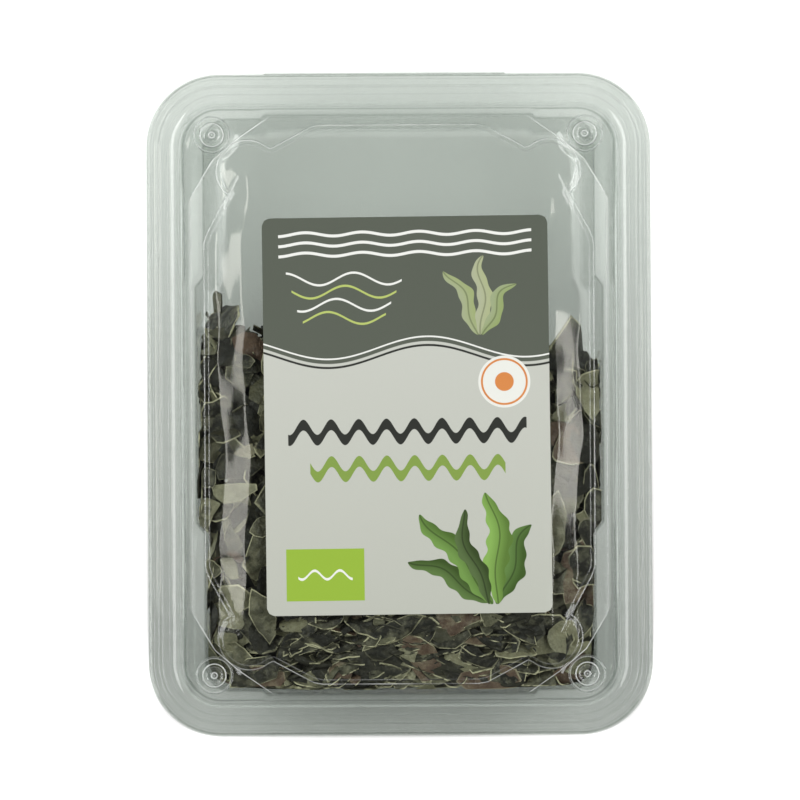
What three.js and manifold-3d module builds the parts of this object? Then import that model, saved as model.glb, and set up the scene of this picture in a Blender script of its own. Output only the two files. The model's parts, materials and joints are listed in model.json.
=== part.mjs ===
// Dried kombu flakes in a clear hinged box, lying on its back with the label up.
// Millimetres, +Z up, +Y towards the hinge, origin under the middle of the box on the surface it lies on.
import * as THREE from "three";
import { mergeVertices } from "three/addons/utils/BufferGeometryUtils.js";
import Module from "manifold-3d";

const wasm = await Module();
wasm.setup();

// The two shells, seen from above
const BOX_WIDTH = 140.5;
const BOX_LENGTH = 185;
const HINGE_BEAD_RADIUS = 0.45;
const CORNER_RADIUS = 20.3;
const SHEET = 0.6; // thickness of the clear sheet
const SHELL_GAP = 0.3; // between the two flanges
const HALF_WIDTH = BOX_WIDTH / 2;
const HALF_LENGTH = (BOX_LENGTH - HINGE_BEAD_RADIUS) / 2;
const SHELL_Y = -HINGE_BEAD_RADIUS / 2; // the bead stands out past the flanges on the hinge side

// Heights above the surface
const FLANGE_Z = 32.1; // top of the tray's flange
const LIP_DROP = 2.2; // how far the tray's edge turns down
const SHOULDER_Z = 28.9; // where the tray's sloping shoulder meets its wall
const FOOT_Z = 3.6; // where the wall turns into the floor
const STUD_HEIGHTS = { ring: 0.5, button: 1.1, dimple: 0.6 }; // over the stud's foot

// Tray wall, as distances in from the outline
const TRAY = { rim: 9.6, wallSide: 13.45, wallEnd: 11.4, draft: 2.1, foot: 2.4 };
const SIDE_PANEL = { halfLength: 34.15, recess: 2.3 }; // beyond it the side walls stand further in
const END_PANEL = { halfLength: 37.9, recess: 1.1 }; // the same on the end walls
const TRAY_CORNER = 9.5;

// Lid profile from its edge inwards: distance in from the outline, height of the top face
const LID_FLANGE_Z = FLANGE_Z + SHELL_GAP + SHEET;
const LID_PROFILE = [
  [0, LID_FLANGE_Z],
  [2.2, LID_FLANGE_Z],
  [2.7, LID_FLANGE_Z + 0.4],
  [7.8, LID_FLANGE_Z + 0.4],
  [9.3, 36.0],
  [13.4, 36.3],
];
const LID_UNDERSIDE = [
  [0, LID_FLANGE_Z - SHEET],
  [7.5, LID_FLANGE_Z - SHEET + 0.2],
  [8.9, 35.35],
  [13.3, 35.7],
];
const PANEL = { inset: 13.8, z: 36.75, cornerZ: 36.15, creaseZ: 37.0 };
const STUD_FOOT_Z = PANEL.cornerZ + 0.25;
const PLATEAU = { halfWidth: 42.6, halfLength: 61, radius: 5, z: 38.7 };
const LOBED = { z: 37.55, step: 0.5, wide: 0.6 }; // raised field with a lobe in each corner

// First quarter of the lobed field's outline, about the middle of the lid
const LOBE = { x: 41.9, y: 64.8, radius: 8.6 };
const LOBED_SIDE = [54, 46];
const LOBED_NOTCH_SIDE = [47.2, 58.6];
const LOBED_NOTCH_END = [35.3, 71.0];
const LOBED_END = [23.3, 77.5];
const LOBE_SIDES = 14;

// Crease that cuts each corner of the lid off from the middle
const CREASE = [
  [56.4, 58.6],
  [51.0, 70.6],
  [35.6, 81.4],
];
const CREASE_EDGE = 0.5; // how far the crease stays inside the panel's edge
const CREASE_WIDTH = 0.4; // from the crease's top to its foot
const CORNER_REACH = 1.5; // beyond the crease at least this wide, the panel falls to its corner height

const STUD = { x: 52, y: 74.5, outer: 5.1, inner: 3.3, dimple: 1.8, slant: 0.2, hollow: 0.3, sides: 14 };
const HINGE = { from: -37.5, to: 30, y: HALF_LENGTH + SHELL_Y, z: FLANGE_Z + SHELL_GAP / 2, sides: 10 };
const LABEL = { width: 79, length: 110, x: 2.1, y: -3.3, turn: 0.5, radius: 2.2 };
const LABEL_THICKNESS = 0.3;
const LABEL_LIFT = 0.1; // over the lid

// Directions from the middle at which every ring of a shell has a point, over a quarter turn.
// They hold each bend of the outline, of the wall panels, of the lobed field and of the crease.
const QUARTER_ANGLES = [
  16, 30.9, 32.9, 40.4, 46, 49, 51.15, 52.7, 54.4, 57.2, 60, 62, 63.55, 65.6, 73.3, 82,
];

// Flakes
const SEED = 20417;
const FLAKE_THICKNESS = 0.8;
const FLAKE_GAP = 0.4; // between the flakes and the shells
const POCKET_GAP = 0.35; // between a loose flake and the heap
const CORE_INSET = 3.4; // how far the heap's core stays inside the tips of its flakes
const CAVITY_STEPS = 5; // facets in a corner of the room inside the box
const CAVITY = {
  x: HALF_WIDTH - TRAY.wallSide - SIDE_PANEL.recess,
  y: HALF_LENGTH - TRAY.wallEnd - END_PANEL.recess,
  edgeZ: PANEL.cornerZ - SHEET,
  topZ: PLATEAU.z - SHEET,
};
// The heap's free face towards the hinge: where it crosses the middle, and its angles in degrees
const HEAP_FACE = { y: 15, z: 15, lean: 10, turn: -4.7 };
const JITTER = 0.55; // how far a flake strays from its place in the layer, as a share of the pitch
const SINK = [0.3, 0.4]; // how far a flake's middle lies over the core's skin: least, and the spread
// Layers of flakes: spacing, half-length from and to, and how far their edges stand out of the layer
const LAYERS = {
  top: { pitch: 12.6, size: [7.5, 10.5], rise: 2.5 },
  floor: { pitch: 18, size: [9, 12], rise: 1.6 },
  wall: { pitch: 15, size: [7.5, 10], rise: 2.4 },
  free: { pitch: 12.5, size: [7, 10], rise: 4.5 },
};
// Loose flakes: middle, the way each faces, half-length, and its turn in degrees
const PALE_FLAKES = [
  { at: [44.5, -65.5, 34.7], out: [0.1, -0.05, 1], size: 7.5, spin: -15 },
  { at: [-46.5, -58, 35.1], out: [-0.12, 0, 1], size: 8, spin: 60 },
  { at: [-47.5, -24, 35.4], out: [-0.14, 0.05, 1], size: 7, spin: 110 },
  { at: [-51.6, 17, 21], out: [-1, 0.05, -0.05], size: 8.5, spin: 80 },
];
const BROWN_FLAKES = [
  { at: [48.5, -49, 35.1], out: [0.12, 0.03, 1], size: 7.5, spin: 75 },
  { at: [48.2, -12, 35.2], out: [0.13, -0.04, 1], size: 7, spin: 95 },
  { at: [4, -70, 35.6], out: [0, -0.1, 1], size: 8.5, spin: 10 },
  { at: [20, 14.2, 20], out: [0.1, 1, 0.2], size: 8.5, spin: 35 },
];

const COLOURS = {
  clear: { color: 0xd9e2da, roughness: 0.08, metalness: 0, transparent: true, opacity: 0.3 },
  label: { color: 0xcfd1c6, roughness: 0.45, metalness: 0 },
  kombu: { color: 0x2f3026, roughness: 0.75, metalness: 0 },
  kombuPale: { color: 0x6d6f58, roughness: 0.75, metalness: 0 },
  kombuBrown: { color: 0x5a3f30, roughness: 0.75, metalness: 0 },
};

const radians = THREE.MathUtils.degToRad;

// All directions, from the quarter's by mirroring it in both middle lines.
const HALF_TURN = [0, ...QUARTER_ANGLES, 90, ...QUARTER_ANGLES.map((a) => 180 - a).reverse()];
const ANGLES = [...HALF_TURN, ...HALF_TURN.map((a) => a + 180)].map(radians);

// Distance from the middle to a rounded rectangle in one direction.
function roundedReach(angle, halfX, halfY, radius) {
  const c = Math.abs(Math.cos(angle));
  const s = Math.abs(Math.sin(angle));
  const cornerX = halfX - radius;
  const cornerY = halfY - radius;
  if (halfX * s <= cornerY * c) return halfX / c;
  if (halfY * c <= cornerX * s) return halfY / s;
  const along = c * cornerX + s * cornerY;
  return along + Math.sqrt(along ** 2 - cornerX ** 2 - cornerY ** 2 + radius ** 2);
}

// Distance from the middle to a chain of points of the first quarter, mirrored in both middle lines.
function chainReach(angle, chain) {
  const c = Math.abs(Math.cos(angle));
  const s = Math.abs(Math.sin(angle));
  for (let i = 1; i < chain.length; i++) {
    const [x0, y0] = chain[i - 1];
    const [x1, y1] = chain[i];
    if (s * x1 > c * y1 + 1e-9) continue;
    return (x0 * y1 - x1 * y0) / (c * (y1 - y0) - s * (x1 - x0));
  }
  return Infinity;
}

// The outline moved in by a distance.
function outlineReach(angle, inset) {
  const radius = Math.max(CORNER_RADIUS - inset, TRAY_CORNER);
  return roundedReach(angle, HALF_WIDTH - inset, HALF_LENGTH - inset, radius);
}

// The tray's wall: the middle stretch of each side stands further out than the stretches by the corners.
function wallReach(angle, inset) {
  const endInset = inset + TRAY.wallEnd - TRAY.wallSide;
  const halfX = HALF_WIDTH - inset;
  const halfY = HALF_LENGTH - endInset;
  const c = Math.abs(Math.cos(angle));
  const s = Math.abs(Math.sin(angle));
  if (halfX * s < SIDE_PANEL.halfLength * c) return halfX / c;
  if (halfY * c < END_PANEL.halfLength * s) return halfY / s;
  return roundedReach(angle, halfX - SIDE_PANEL.recess, halfY - END_PANEL.recess, TRAY_CORNER);
}

// The lobed field: straight sides, an arc between two notches in each corner.
function lobeChain() {
  const angleOf = ([x, y]) => Math.atan2(y - LOBE.y, x - LOBE.x);
  const from = angleOf(LOBED_NOTCH_SIDE);
  const to = angleOf(LOBED_NOTCH_END);
  const notchDirection = Math.atan2(LOBED_NOTCH_SIDE[1], LOBED_NOTCH_SIDE[0]);
  const arc = Array.from({ length: LOBE_SIDES - 1 }, (_, i) => from + ((to - from) * (i + 1)) / LOBE_SIDES)
    .map((a) => [LOBE.x + LOBE.radius * Math.cos(a), LOBE.y + LOBE.radius * Math.sin(a)])
    .filter(([x, y]) => Math.atan2(y, x) > notchDirection);
  return [
    [LOBED_SIDE[0], -1],
    LOBED_SIDE,
    LOBED_NOTCH_SIDE,
    ...arc,
    LOBED_NOTCH_END,
    LOBED_END,
    [-1, LOBED_END[1]],
  ];
}

// One ring of points, from its reach and its height in each direction.
function ring(reach, height) {
  return ANGLES.map((angle) => {
    const r = reach(angle);
    const z = typeof height === "number" ? height : height(angle);
    return [r * Math.cos(angle), r * Math.sin(angle) + SHELL_Y, z];
  });
}

// A closed sheet: rings of the upper face and of the lower one, each from the edge to the middle.
function sheetGeometry(upper, lower) {
  const count = upper[0].length;
  const points = [];
  const faces = [];
  const addFace = (rings, up) => {
    const base = points.length;
    rings.forEach((points3) => points.push(...points3));
    const last = rings[rings.length - 1];
    points.push([0, SHELL_Y, last.reduce((sum, p) => sum + p[2], 0) / last.length]);
    const middle = points.length - 1;
    for (let i = 0; i < count; i++) {
      const j = (i + 1) % count;
      for (let k = 0; k < rings.length - 1; k++) {
        const a = base + k * count;
        const quad = [a + i, a + j, a + count + j, a + count + i];
        faces.push([quad[0], quad[1], quad[2]], [quad[0], quad[2], quad[3]]);
        if (!up) faces.splice(-2, 2, [quad[0], quad[2], quad[1]], [quad[0], quad[3], quad[2]]);
      }
      const edge = base + (rings.length - 1) * count;
      faces.push(up ? [edge + i, edge + j, middle] : [edge + j, edge + i, middle]);
    }
    return base;
  };
  const top = addFace(upper, true);
  const bottom = addFace(lower, false);
  for (let i = 0; i < count; i++) {
    const j = (i + 1) % count;
    faces.push([bottom + i, bottom + j, top + j], [bottom + i, top + j, top + i]);
  }
  const geometry = new THREE.BufferGeometry();
  geometry.setAttribute("position", new THREE.Float32BufferAttribute(points.flat(), 3));
  geometry.setIndex(faces.flat());
  return geometry;
}

// Geometry to solid and back, for joins and cuts.
function solidOf(geometry, matrix = new THREE.Matrix4()) {
  const copy = geometry.clone().applyMatrix4(matrix);
  copy.deleteAttribute("normal");
  copy.deleteAttribute("uv");
  const merged = mergeVertices(copy, 1e-4);
  const mesh = new wasm.Mesh({
    numProp: 3,
    vertProperties: merged.attributes.position.array,
    triVerts: new Uint32Array(merged.index.array),
  });
  return new wasm.Manifold(mesh);
}

function geometryOf(solid) {
  const mesh = solid.getMesh();
  const geometry = new THREE.BufferGeometry();
  geometry.setAttribute("position", new THREE.BufferAttribute(mesh.vertProperties, 3));
  geometry.setIndex(new THREE.BufferAttribute(mesh.triVerts, 1));
  geometry.computeVertexNormals();
  return geometry;
}

// The part of a solid that holds together, without scraps that a cut left loose.
function largest(solid) {
  return solid.decompose().reduce((best, piece) => (piece.volume() > best.volume() ? piece : best));
}

function namedMesh(name, geometry, look) {
  geometry.computeVertexNormals();
  const mesh = new THREE.Mesh(geometry, new THREE.MeshStandardMaterial(look));
  mesh.name = name;
  return mesh;
}

// Tray: a flange with a turned-down edge, a sloping shoulder, drafted walls and a flat floor.
function makeTray() {
  const shell = (inset) => (angle) => outlineReach(angle, inset);
  const wall = (inset) => (angle) => wallReach(angle, inset);
  const inside = TRAY.wallSide;
  const foot = inside + TRAY.draft;
  const upper = [
    ring(shell(0), FLANGE_Z),
    ring(shell(TRAY.rim), FLANGE_Z),
    ring(wall(inside), SHOULDER_Z),
    ring(wall(foot), FOOT_Z),
    ring(wall(foot + TRAY.foot), SHEET),
  ];
  const lower = [
    ring(shell(0), FLANGE_Z - LIP_DROP),
    ring(shell(SHEET), FLANGE_Z - LIP_DROP),
    ring(shell(SHEET), FLANGE_Z - SHEET),
    ring(shell(TRAY.rim - SHEET), FLANGE_Z - SHEET),
    ring(wall(inside - SHEET), SHOULDER_Z - SHEET),
    ring(wall(foot - SHEET), FOOT_Z - SHEET / 2),
    ring(wall(foot + TRAY.foot - SHEET / 2), 0),
  ];
  const beadLength = HINGE.to - HINGE.from;
  const bead = new THREE.CylinderGeometry(HINGE_BEAD_RADIUS, HINGE_BEAD_RADIUS, beadLength, HINGE.sides);
  const place = new THREE.Matrix4()
    .makeTranslation((HINGE.from + HINGE.to) / 2, HINGE.y, HINGE.z)
    .multiply(new THREE.Matrix4().makeRotationZ(Math.PI / 2));
  return namedMesh(
    "tray",
    geometryOf(solidOf(sheetGeometry(upper, lower)).add(solidOf(bead, place))),
    COLOURS.clear,
  );
}

// One stud of the lid: a flat ring, a round button in it and a dimple in the button.
function studGeometry() {
  const { outer, inner, dimple, slant, hollow, sides } = STUD;
  const { ring: ringZ, button, dimple: dimpleZ } = STUD_HEIGHTS;
  const profile = [
    [0, STUD_FOOT_Z - SHEET],
    [outer, STUD_FOOT_Z - SHEET],
    [outer - slant, STUD_FOOT_Z + ringZ],
    [inner + slant, STUD_FOOT_Z + ringZ],
    [inner, STUD_FOOT_Z + button],
    [dimple, STUD_FOOT_Z + button],
    [dimple - hollow, STUD_FOOT_Z + dimpleZ],
    [0, STUD_FOOT_Z + dimpleZ],
  ];
  return new THREE.LatheGeometry(
    profile.map(([r, z]) => new THREE.Vector2(r, z)),
    sides,
  ).rotateX(Math.PI / 2);
}

// Lid: a flange, a steep wall, a shoulder, and a crowned panel with a lobed field, creases and studs.
function makeLid() {
  const chain = lobeChain();
  const panelReach = (angle) => outlineReach(angle, PANEL.inset);
  const crease = [[CREASE[0][0], -1], ...CREASE, [-1, CREASE.at(-1)[1]]];
  const creaseReach = (angle) => Math.min(panelReach(angle) - CREASE_EDGE, chainReach(angle, crease));
  const inCorner = (angle) => panelReach(angle) - creaseReach(angle) > CORNER_REACH;
  const lobedReach = (angle) => chainReach(angle, chain);
  const plateauReach = (angle) =>
    roundedReach(angle, PLATEAU.halfWidth, PLATEAU.halfLength, PLATEAU.radius);
  const fieldFoot = (angle) => Math.min(lobedReach(angle) + LOBED.wide, creaseReach(angle) - CREASE_WIDTH);
  const panelZ = (angle) => (inCorner(angle) ? PANEL.cornerZ : PANEL.z);
  const inner = [
    [panelReach, panelZ],
    [creaseReach, () => PANEL.creaseZ],
    [fieldFoot, () => LOBED.z - LOBED.step],
    [lobedReach, () => LOBED.z],
    [plateauReach, () => PLATEAU.z],
  ];
  const upper = [
    ...LID_PROFILE.map(([inset, z]) => ring((angle) => outlineReach(angle, inset), z)),
    ...inner.map(([reach, z]) => ring(reach, z)),
  ];
  const lower = [
    ...LID_UNDERSIDE.map(([inset, z]) => ring((angle) => outlineReach(angle, inset), z)),
    ...inner.map(([reach, z]) => ring(reach, (angle) => z(angle) - SHEET)),
  ];
  let lid = solidOf(sheetGeometry(upper, lower));
  for (const x of [-STUD.x, STUD.x]) {
    for (const y of [-STUD.y, STUD.y]) {
      const place = new THREE.Matrix4().makeTranslation(x, y + SHELL_Y, 0);
      lid = lid.add(solidOf(studGeometry(), place));
    }
  }
  // The flange is cut back where the hinge bead runs.
  const room = 2 * (HINGE_BEAD_RADIUS + SHELL_GAP);
  const slot = new THREE.BoxGeometry(HINGE.to - HINGE.from + room, room, room);
  slot.translate((HINGE.from + HINGE.to) / 2, HINGE.y, HINGE.z);
  return namedMesh("lid", geometryOf(lid.subtract(solidOf(slot))), COLOURS.clear);
}

// Label: a thin rectangle with rounded corners on the lid's flat middle.
function makeLabel() {
  const { width, length, radius } = LABEL;
  const shape = new THREE.Shape();
  const [w, l] = [width / 2 - radius, length / 2 - radius];
  shape.absarc(w, l, radius, 0, Math.PI / 2);
  shape.absarc(-w, l, radius, Math.PI / 2, Math.PI);
  shape.absarc(-w, -l, radius, Math.PI, Math.PI * 1.5);
  shape.absarc(w, -l, radius, Math.PI * 1.5, Math.PI * 2);
  const geometry = new THREE.ExtrudeGeometry(shape, {
    depth: LABEL_THICKNESS,
    bevelEnabled: false,
    curveSegments: 4,
  });
  const mesh = namedMesh("label", geometry, COLOURS.label);
  mesh.position.set(LABEL.x, LABEL.y, PLATEAU.z + LABEL_LIFT);
  mesh.rotation.z = radians(LABEL.turn);
  return mesh;
}

// A seeded draw between 0 and 1.
function makeDraw(seed) {
  let state = seed;
  return () => {
    state = (Math.imul(state, 1664525) + 1013904223) >>> 0;
    return state / 4294967296;
  };
}

// A broken flake: five to seven corners at uneven distances, cupped or bent like a saddle.
// Its faces are split into the same triangles above and below.
function flakeGeometry(draw, size, thickness = FLAKE_THICKNESS) {
  const corners = 5 + Math.floor(draw() * 3);
  const long = 1.15 + 0.45 * draw();
  const start = draw() * Math.PI * 2;
  const bend = (draw() - 0.5) * 2.6;
  const points = [];
  for (let i = 0; i < corners; i++) {
    const angle = start + ((i + 0.55 * (draw() - 0.5)) * Math.PI * 2) / corners;
    const reach = size * (0.78 + 0.34 * draw());
    points.push([reach * Math.cos(angle), (reach * Math.sin(angle)) / long, bend * Math.cos(2 * angle)]);
  }
  points.push([0, 0, Math.abs(bend) * 0.4]);
  const middle = corners;
  const count = corners + 1;
  const faces = [];
  for (let i = 0; i < corners; i++) {
    const j = (i + 1) % corners;
    faces.push([i, j, middle], [count + j, count + i, count + middle]);
    faces.push([count + i, count + j, j], [count + i, j, i]);
  }
  const both = [
    ...points.map(([x, y, z]) => [x, y, z + thickness / 2]),
    ...points.map(([x, y, z]) => [x, y, z - thickness / 2]),
  ];
  const geometry = new THREE.BufferGeometry();
  geometry.setAttribute("position", new THREE.Float32BufferAttribute(both.flat(), 3));
  geometry.setIndex(faces.flat());
  return geometry;
}

// The room inside the tray up to the lid, less a margin on every side.
function cavitySolid(margin) {
  const outline = (halfX, halfY, z) => {
    const points = [];
    const corners = [[1, 1, 0], [-1, 1, 90], [-1, -1, 180], [1, -1, 270]];
    for (const [sideX, sideY, start] of corners) {
      for (let i = 0; i <= CAVITY_STEPS; i++) {
        const a = radians(start + (90 * i) / CAVITY_STEPS);
        const x = sideX * (halfX - margin - TRAY_CORNER) + TRAY_CORNER * Math.cos(a);
        const y = sideY * (halfY - margin - TRAY_CORNER) + TRAY_CORNER * Math.sin(a);
        points.push([x, y + SHELL_Y, z]);
      }
    }
    return points;
  };
  const { foot, draft } = TRAY;
  return solidOf(
    sheetGeometry(
      [
        outline(CAVITY.x, CAVITY.y, CAVITY.edgeZ - margin),
        outline(PLATEAU.halfWidth, PLATEAU.halfLength, CAVITY.topZ - margin),
      ],
      [
        outline(CAVITY.x, CAVITY.y, SHOULDER_Z),
        outline(CAVITY.x - draft, CAVITY.y - draft, FOOT_Z + margin),
        outline(CAVITY.x - draft - foot, CAVITY.y - draft - foot, SHEET + margin),
      ],
    ),
  );
}

// Everything on the heap's side of its free face, which stands a distance in from the flakes' tips.
function heapSide(inset) {
  const reach = BOX_LENGTH;
  const block = new THREE.BoxGeometry(reach, reach, reach).translate(0, -reach / 2 - inset, 0);
  const turn = new THREE.Matrix4().makeRotationFromEuler(
    new THREE.Euler(radians(HEAP_FACE.lean), 0, radians(HEAP_FACE.turn), "ZXY"),
  );
  const place = new THREE.Matrix4().makeTranslation(0, HEAP_FACE.y, HEAP_FACE.z).multiply(turn);
  return solidOf(block, place);
}

// A flake's place: its middle, the direction that it faces and how it is spun and tilted.
function flakeMatrix(point, normal, spin, tilt, tiltAngle) {
  const up = new THREE.Vector3(0, 0, 1);
  const axis = new THREE.Vector3(Math.cos(tilt), Math.sin(tilt), 0);
  const turn = new THREE.Quaternion()
    .setFromUnitVectors(up, new THREE.Vector3(...normal).normalize())
    .multiply(new THREE.Quaternion().setFromAxisAngle(axis, tiltAngle))
    .multiply(new THREE.Quaternion().setFromAxisAngle(up, spin));
  return new THREE.Matrix4().compose(new THREE.Vector3(...point), turn, new THREE.Vector3(1, 1, 1));
}

// Height of the underside of the lid over a point of the heap.
function ceilingZ(x, y) {
  const acrossX = (Math.abs(x) - PLATEAU.halfWidth) / (CAVITY.x - PLATEAU.halfWidth);
  const acrossY = (Math.abs(y - SHELL_Y) - PLATEAU.halfLength) / (CAVITY.y - PLATEAU.halfLength);
  const share = THREE.MathUtils.clamp(Math.max(acrossX, acrossY), 0, 1);
  return THREE.MathUtils.lerp(CAVITY.topZ, CAVITY.edgeZ, share);
}

// The faces of the heap: each turns a place on it into a point on the room's skin and the way out.
function heapFaces() {
  const middleZ = (SHEET + CAVITY.edgeZ) / 2;
  const halfZ = (CAVITY.edgeZ - SHEET) / 2;
  const endY = -CAVITY.y + SHELL_Y;
  const midY = (endY + HEAP_FACE.y) / 2;
  const halfY = (HEAP_FACE.y - endY) / 2;
  const lean = TRAY.draft / halfZ / 2;
  const wallX = CAVITY.x - TRAY.draft / 2;
  const turn = Math.tan(radians(HEAP_FACE.turn));
  const slope = -Math.tan(radians(HEAP_FACE.lean));
  const faceY = (u, v) => HEAP_FACE.y + u * turn - (middleZ + v - HEAP_FACE.z) * slope;
  const footIn = TRAY.foot + TRAY.draft;
  const under = (u, v) => [u, midY + v, ceilingZ(u, midY + v)];
  const onFloor = (u, v) => [u, midY + v, SHEET];
  const onSide = (side) => (u, v) => [side * (wallX + lean * v), midY + u, middleZ + v];
  const onEnd = (u, v) => [u, endY + TRAY.draft / 2 - lean * v, middleZ + v];
  const onFree = (u, v) => [u, faceY(u, v), middleZ + v];
  return [
    { ...LAYERS.top, half: [CAVITY.x, halfY], at: under, out: [0, 0, 1] },
    { ...LAYERS.floor, half: [CAVITY.x - footIn, halfY - footIn], at: onFloor, out: [0, 0, -1] },
    { ...LAYERS.wall, half: [halfY, halfZ], at: onSide(1), out: [1, 0, -lean] },
    { ...LAYERS.wall, half: [halfY, halfZ], at: onSide(-1), out: [-1, 0, -lean] },
    { ...LAYERS.wall, half: [CAVITY.x, halfZ], at: onEnd, out: [0, -1, -lean] },
    { ...LAYERS.free, half: [CAVITY.x, halfZ], at: onFree, out: [0, 1, slope] },
  ];
}

// Heap: a core that holds the flakes, and layers of flakes that stand out of every face of it.
function makeHeap(pockets) {
  const draw = makeDraw(SEED);
  let heap = cavitySolid(FLAKE_GAP + CORE_INSET).intersect(heapSide(CORE_INSET));
  for (const { pitch, size, half, at, out, rise } of heapFaces()) {
    const [halfU, halfV] = half;
    const [countU, countV] = half.map((side) => Math.max(1, Math.round((2 * side) / pitch - 0.5)));
    for (let i = 0; i < countU; i++) {
      for (let k = 0; k < countV; k++) {
        const u = (2 * halfU * (i + 0.5 + JITTER * (draw() - 0.5))) / countU - halfU;
        const v = (2 * halfV * (k + 0.5 + JITTER * (draw() - 0.5))) / countV - halfV;
        const reach = size[0] + (size[1] - size[0]) * draw();
        const depth = FLAKE_GAP + CORE_INSET - SINK[0] - SINK[1] * draw();
        const normal = new THREE.Vector3(...out).normalize();
        const point = new THREE.Vector3(...at(u, v)).addScaledVector(normal, -depth);
        const tilt = Math.asin(Math.min(0.9, (rise * (0.5 + 0.5 * draw())) / reach));
        const place = flakeMatrix(point.toArray(), out, 2 * Math.PI * draw(), 2 * Math.PI * draw(), tilt);
        heap = heap.add(solidOf(flakeGeometry(draw, reach), place));
      }
    }
  }
  heap = heap.intersect(cavitySolid(FLAKE_GAP));
  for (const pocket of pockets) heap = heap.subtract(pocket);
  return namedMesh("kombu_heap", geometryOf(largest(heap)), COLOURS.kombu);
}

// Loose flakes of other colours on the heap, each in a pocket that keeps it clear of the rest.
function makeLooseFlakes() {
  const pockets = [];
  const named = (list, name, look) => list.map((flake, i) => ({ ...flake, look, name: `${name}_${i + 1}` }));
  const flakes = [
    ...named(PALE_FLAKES, "kombu_flake_pale", COLOURS.kombuPale),
    ...named(BROWN_FLAKES, "kombu_flake_brown", COLOURS.kombuBrown),
  ];
  const roomyThickness = FLAKE_THICKNESS + 2 * POCKET_GAP;
  const meshes = flakes.map(({ name, look, at, out, size, spin }, i) => {
    const geometry = flakeGeometry(makeDraw(SEED + i + 1), size);
    const roomy = flakeGeometry(makeDraw(SEED + i + 1), size + POCKET_GAP, roomyThickness);
    const mesh = namedMesh(name, geometry, look);
    const place = flakeMatrix(at, out, radians(spin), 0, 0);
    place.decompose(mesh.position, mesh.quaternion, mesh.scale);
    pockets.push(solidOf(roomy, place));
    return mesh;
  });
  return { meshes, pockets };
}

const loose = makeLooseFlakes();
const group = new THREE.Group();
group.add(makeTray(), makeLid(), makeLabel(), makeHeap(loose.pockets), ...loose.meshes);

export default group;
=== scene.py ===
"""A clear hinged box of dried kombu flakes, lying on its back with the label up.

Shapes are worked out in millimetres and put into meshes in metres. The box's middle line is x = 0 and
its hinge is at +Y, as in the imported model, whose nodes give the driving sizes.
"""

import json

import bpy
import numpy as np
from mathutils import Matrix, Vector


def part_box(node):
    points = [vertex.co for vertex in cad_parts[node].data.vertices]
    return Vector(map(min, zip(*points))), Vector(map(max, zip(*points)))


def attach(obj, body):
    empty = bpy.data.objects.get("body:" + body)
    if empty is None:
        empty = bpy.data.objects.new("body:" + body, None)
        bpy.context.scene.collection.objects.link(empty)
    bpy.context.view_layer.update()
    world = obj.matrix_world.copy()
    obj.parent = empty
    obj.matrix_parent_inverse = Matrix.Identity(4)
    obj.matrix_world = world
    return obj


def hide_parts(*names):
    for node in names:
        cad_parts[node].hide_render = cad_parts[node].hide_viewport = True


bl_info = {
    "name": "Box of kombu flakes",
    "version": (1, 0, 0),
    "blender": (4, 5, 0),
    "location": "View3D > Sidebar > Kombu box",
    "description": "Builds a clear hinged box of dried kombu flakes round its packed model",
    "category": "Object",
}

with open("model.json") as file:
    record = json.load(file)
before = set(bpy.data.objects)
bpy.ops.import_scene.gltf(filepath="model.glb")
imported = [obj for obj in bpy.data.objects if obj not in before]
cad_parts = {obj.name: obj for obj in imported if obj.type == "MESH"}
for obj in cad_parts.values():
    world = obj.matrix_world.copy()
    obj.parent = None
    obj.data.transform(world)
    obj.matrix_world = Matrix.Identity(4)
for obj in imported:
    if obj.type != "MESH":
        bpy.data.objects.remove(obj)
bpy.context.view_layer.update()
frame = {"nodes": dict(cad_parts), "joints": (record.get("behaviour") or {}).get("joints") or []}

MM = 0.001
TRAY_BODY = "tray_body"
LID_BODY = "lid_body"


def node_box(name):
    """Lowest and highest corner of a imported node, in millimetres."""
    low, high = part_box(name)
    return np.array(low) / MM, np.array(high) / MM


LID_LOW, LID_HIGH = node_box("lid")
LABEL_LOW, LABEL_HIGH = node_box("label")
TRAY_BACK = node_box("tray")[1][1]
HALF_X = (LID_HIGH[0] - LID_LOW[0]) / 2
HALF_Y = (LID_HIGH[1] - LID_LOW[1]) / 2
MID_Y = (LID_HIGH[1] + LID_LOW[1]) / 2
PACKED_SHEET = 0.6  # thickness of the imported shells
SHELL_GAP = 0.3  # between the flanges of tray and lid
LABEL_GAP = 0.1  # between the lid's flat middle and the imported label
FLANGE_Z = LID_LOW[2] - SHELL_GAP
LID_FLANGE_Z = LID_LOW[2] + PACKED_SHEET
CROWN_Z = LABEL_LOW[2] - LABEL_GAP
CORNER_RADIUS = 20.3

# Panel inside the lid's walls: how far in from the outline, and its corner radius
PANEL_INSET = 11.2
PANEL_RADIUS = 9.2
PANEL_X = HALF_X - PANEL_INSET
PANEL_Y = HALF_Y - PANEL_INSET
BESIDE = 15.0  # stretch beside each corner with closer grid lines
MIDDLE_CELLS = (26, 38)  # wider cells between those stretches, across and along
LID_CELLS, TRAY_CELLS = 34, 22  # over each corner, and as many over each stretch beside it

# Lid from its edge inwards: where a step starts, how wide it is, how much it rises
LID_STEPS = ((2.7, 0.5, 0.35), (7.6, 1.7, 3.4), (10.5, 0.6, 0.4))
LOBED_STEP = (-1.0, 3.2, 0.15)
PANEL_Z = LID_FLANGE_Z + sum(rise for _, _, rise in LID_STEPS)
RELIEF_FROM = 9.0  # distance in from the edge where the panel's relief starts
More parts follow.
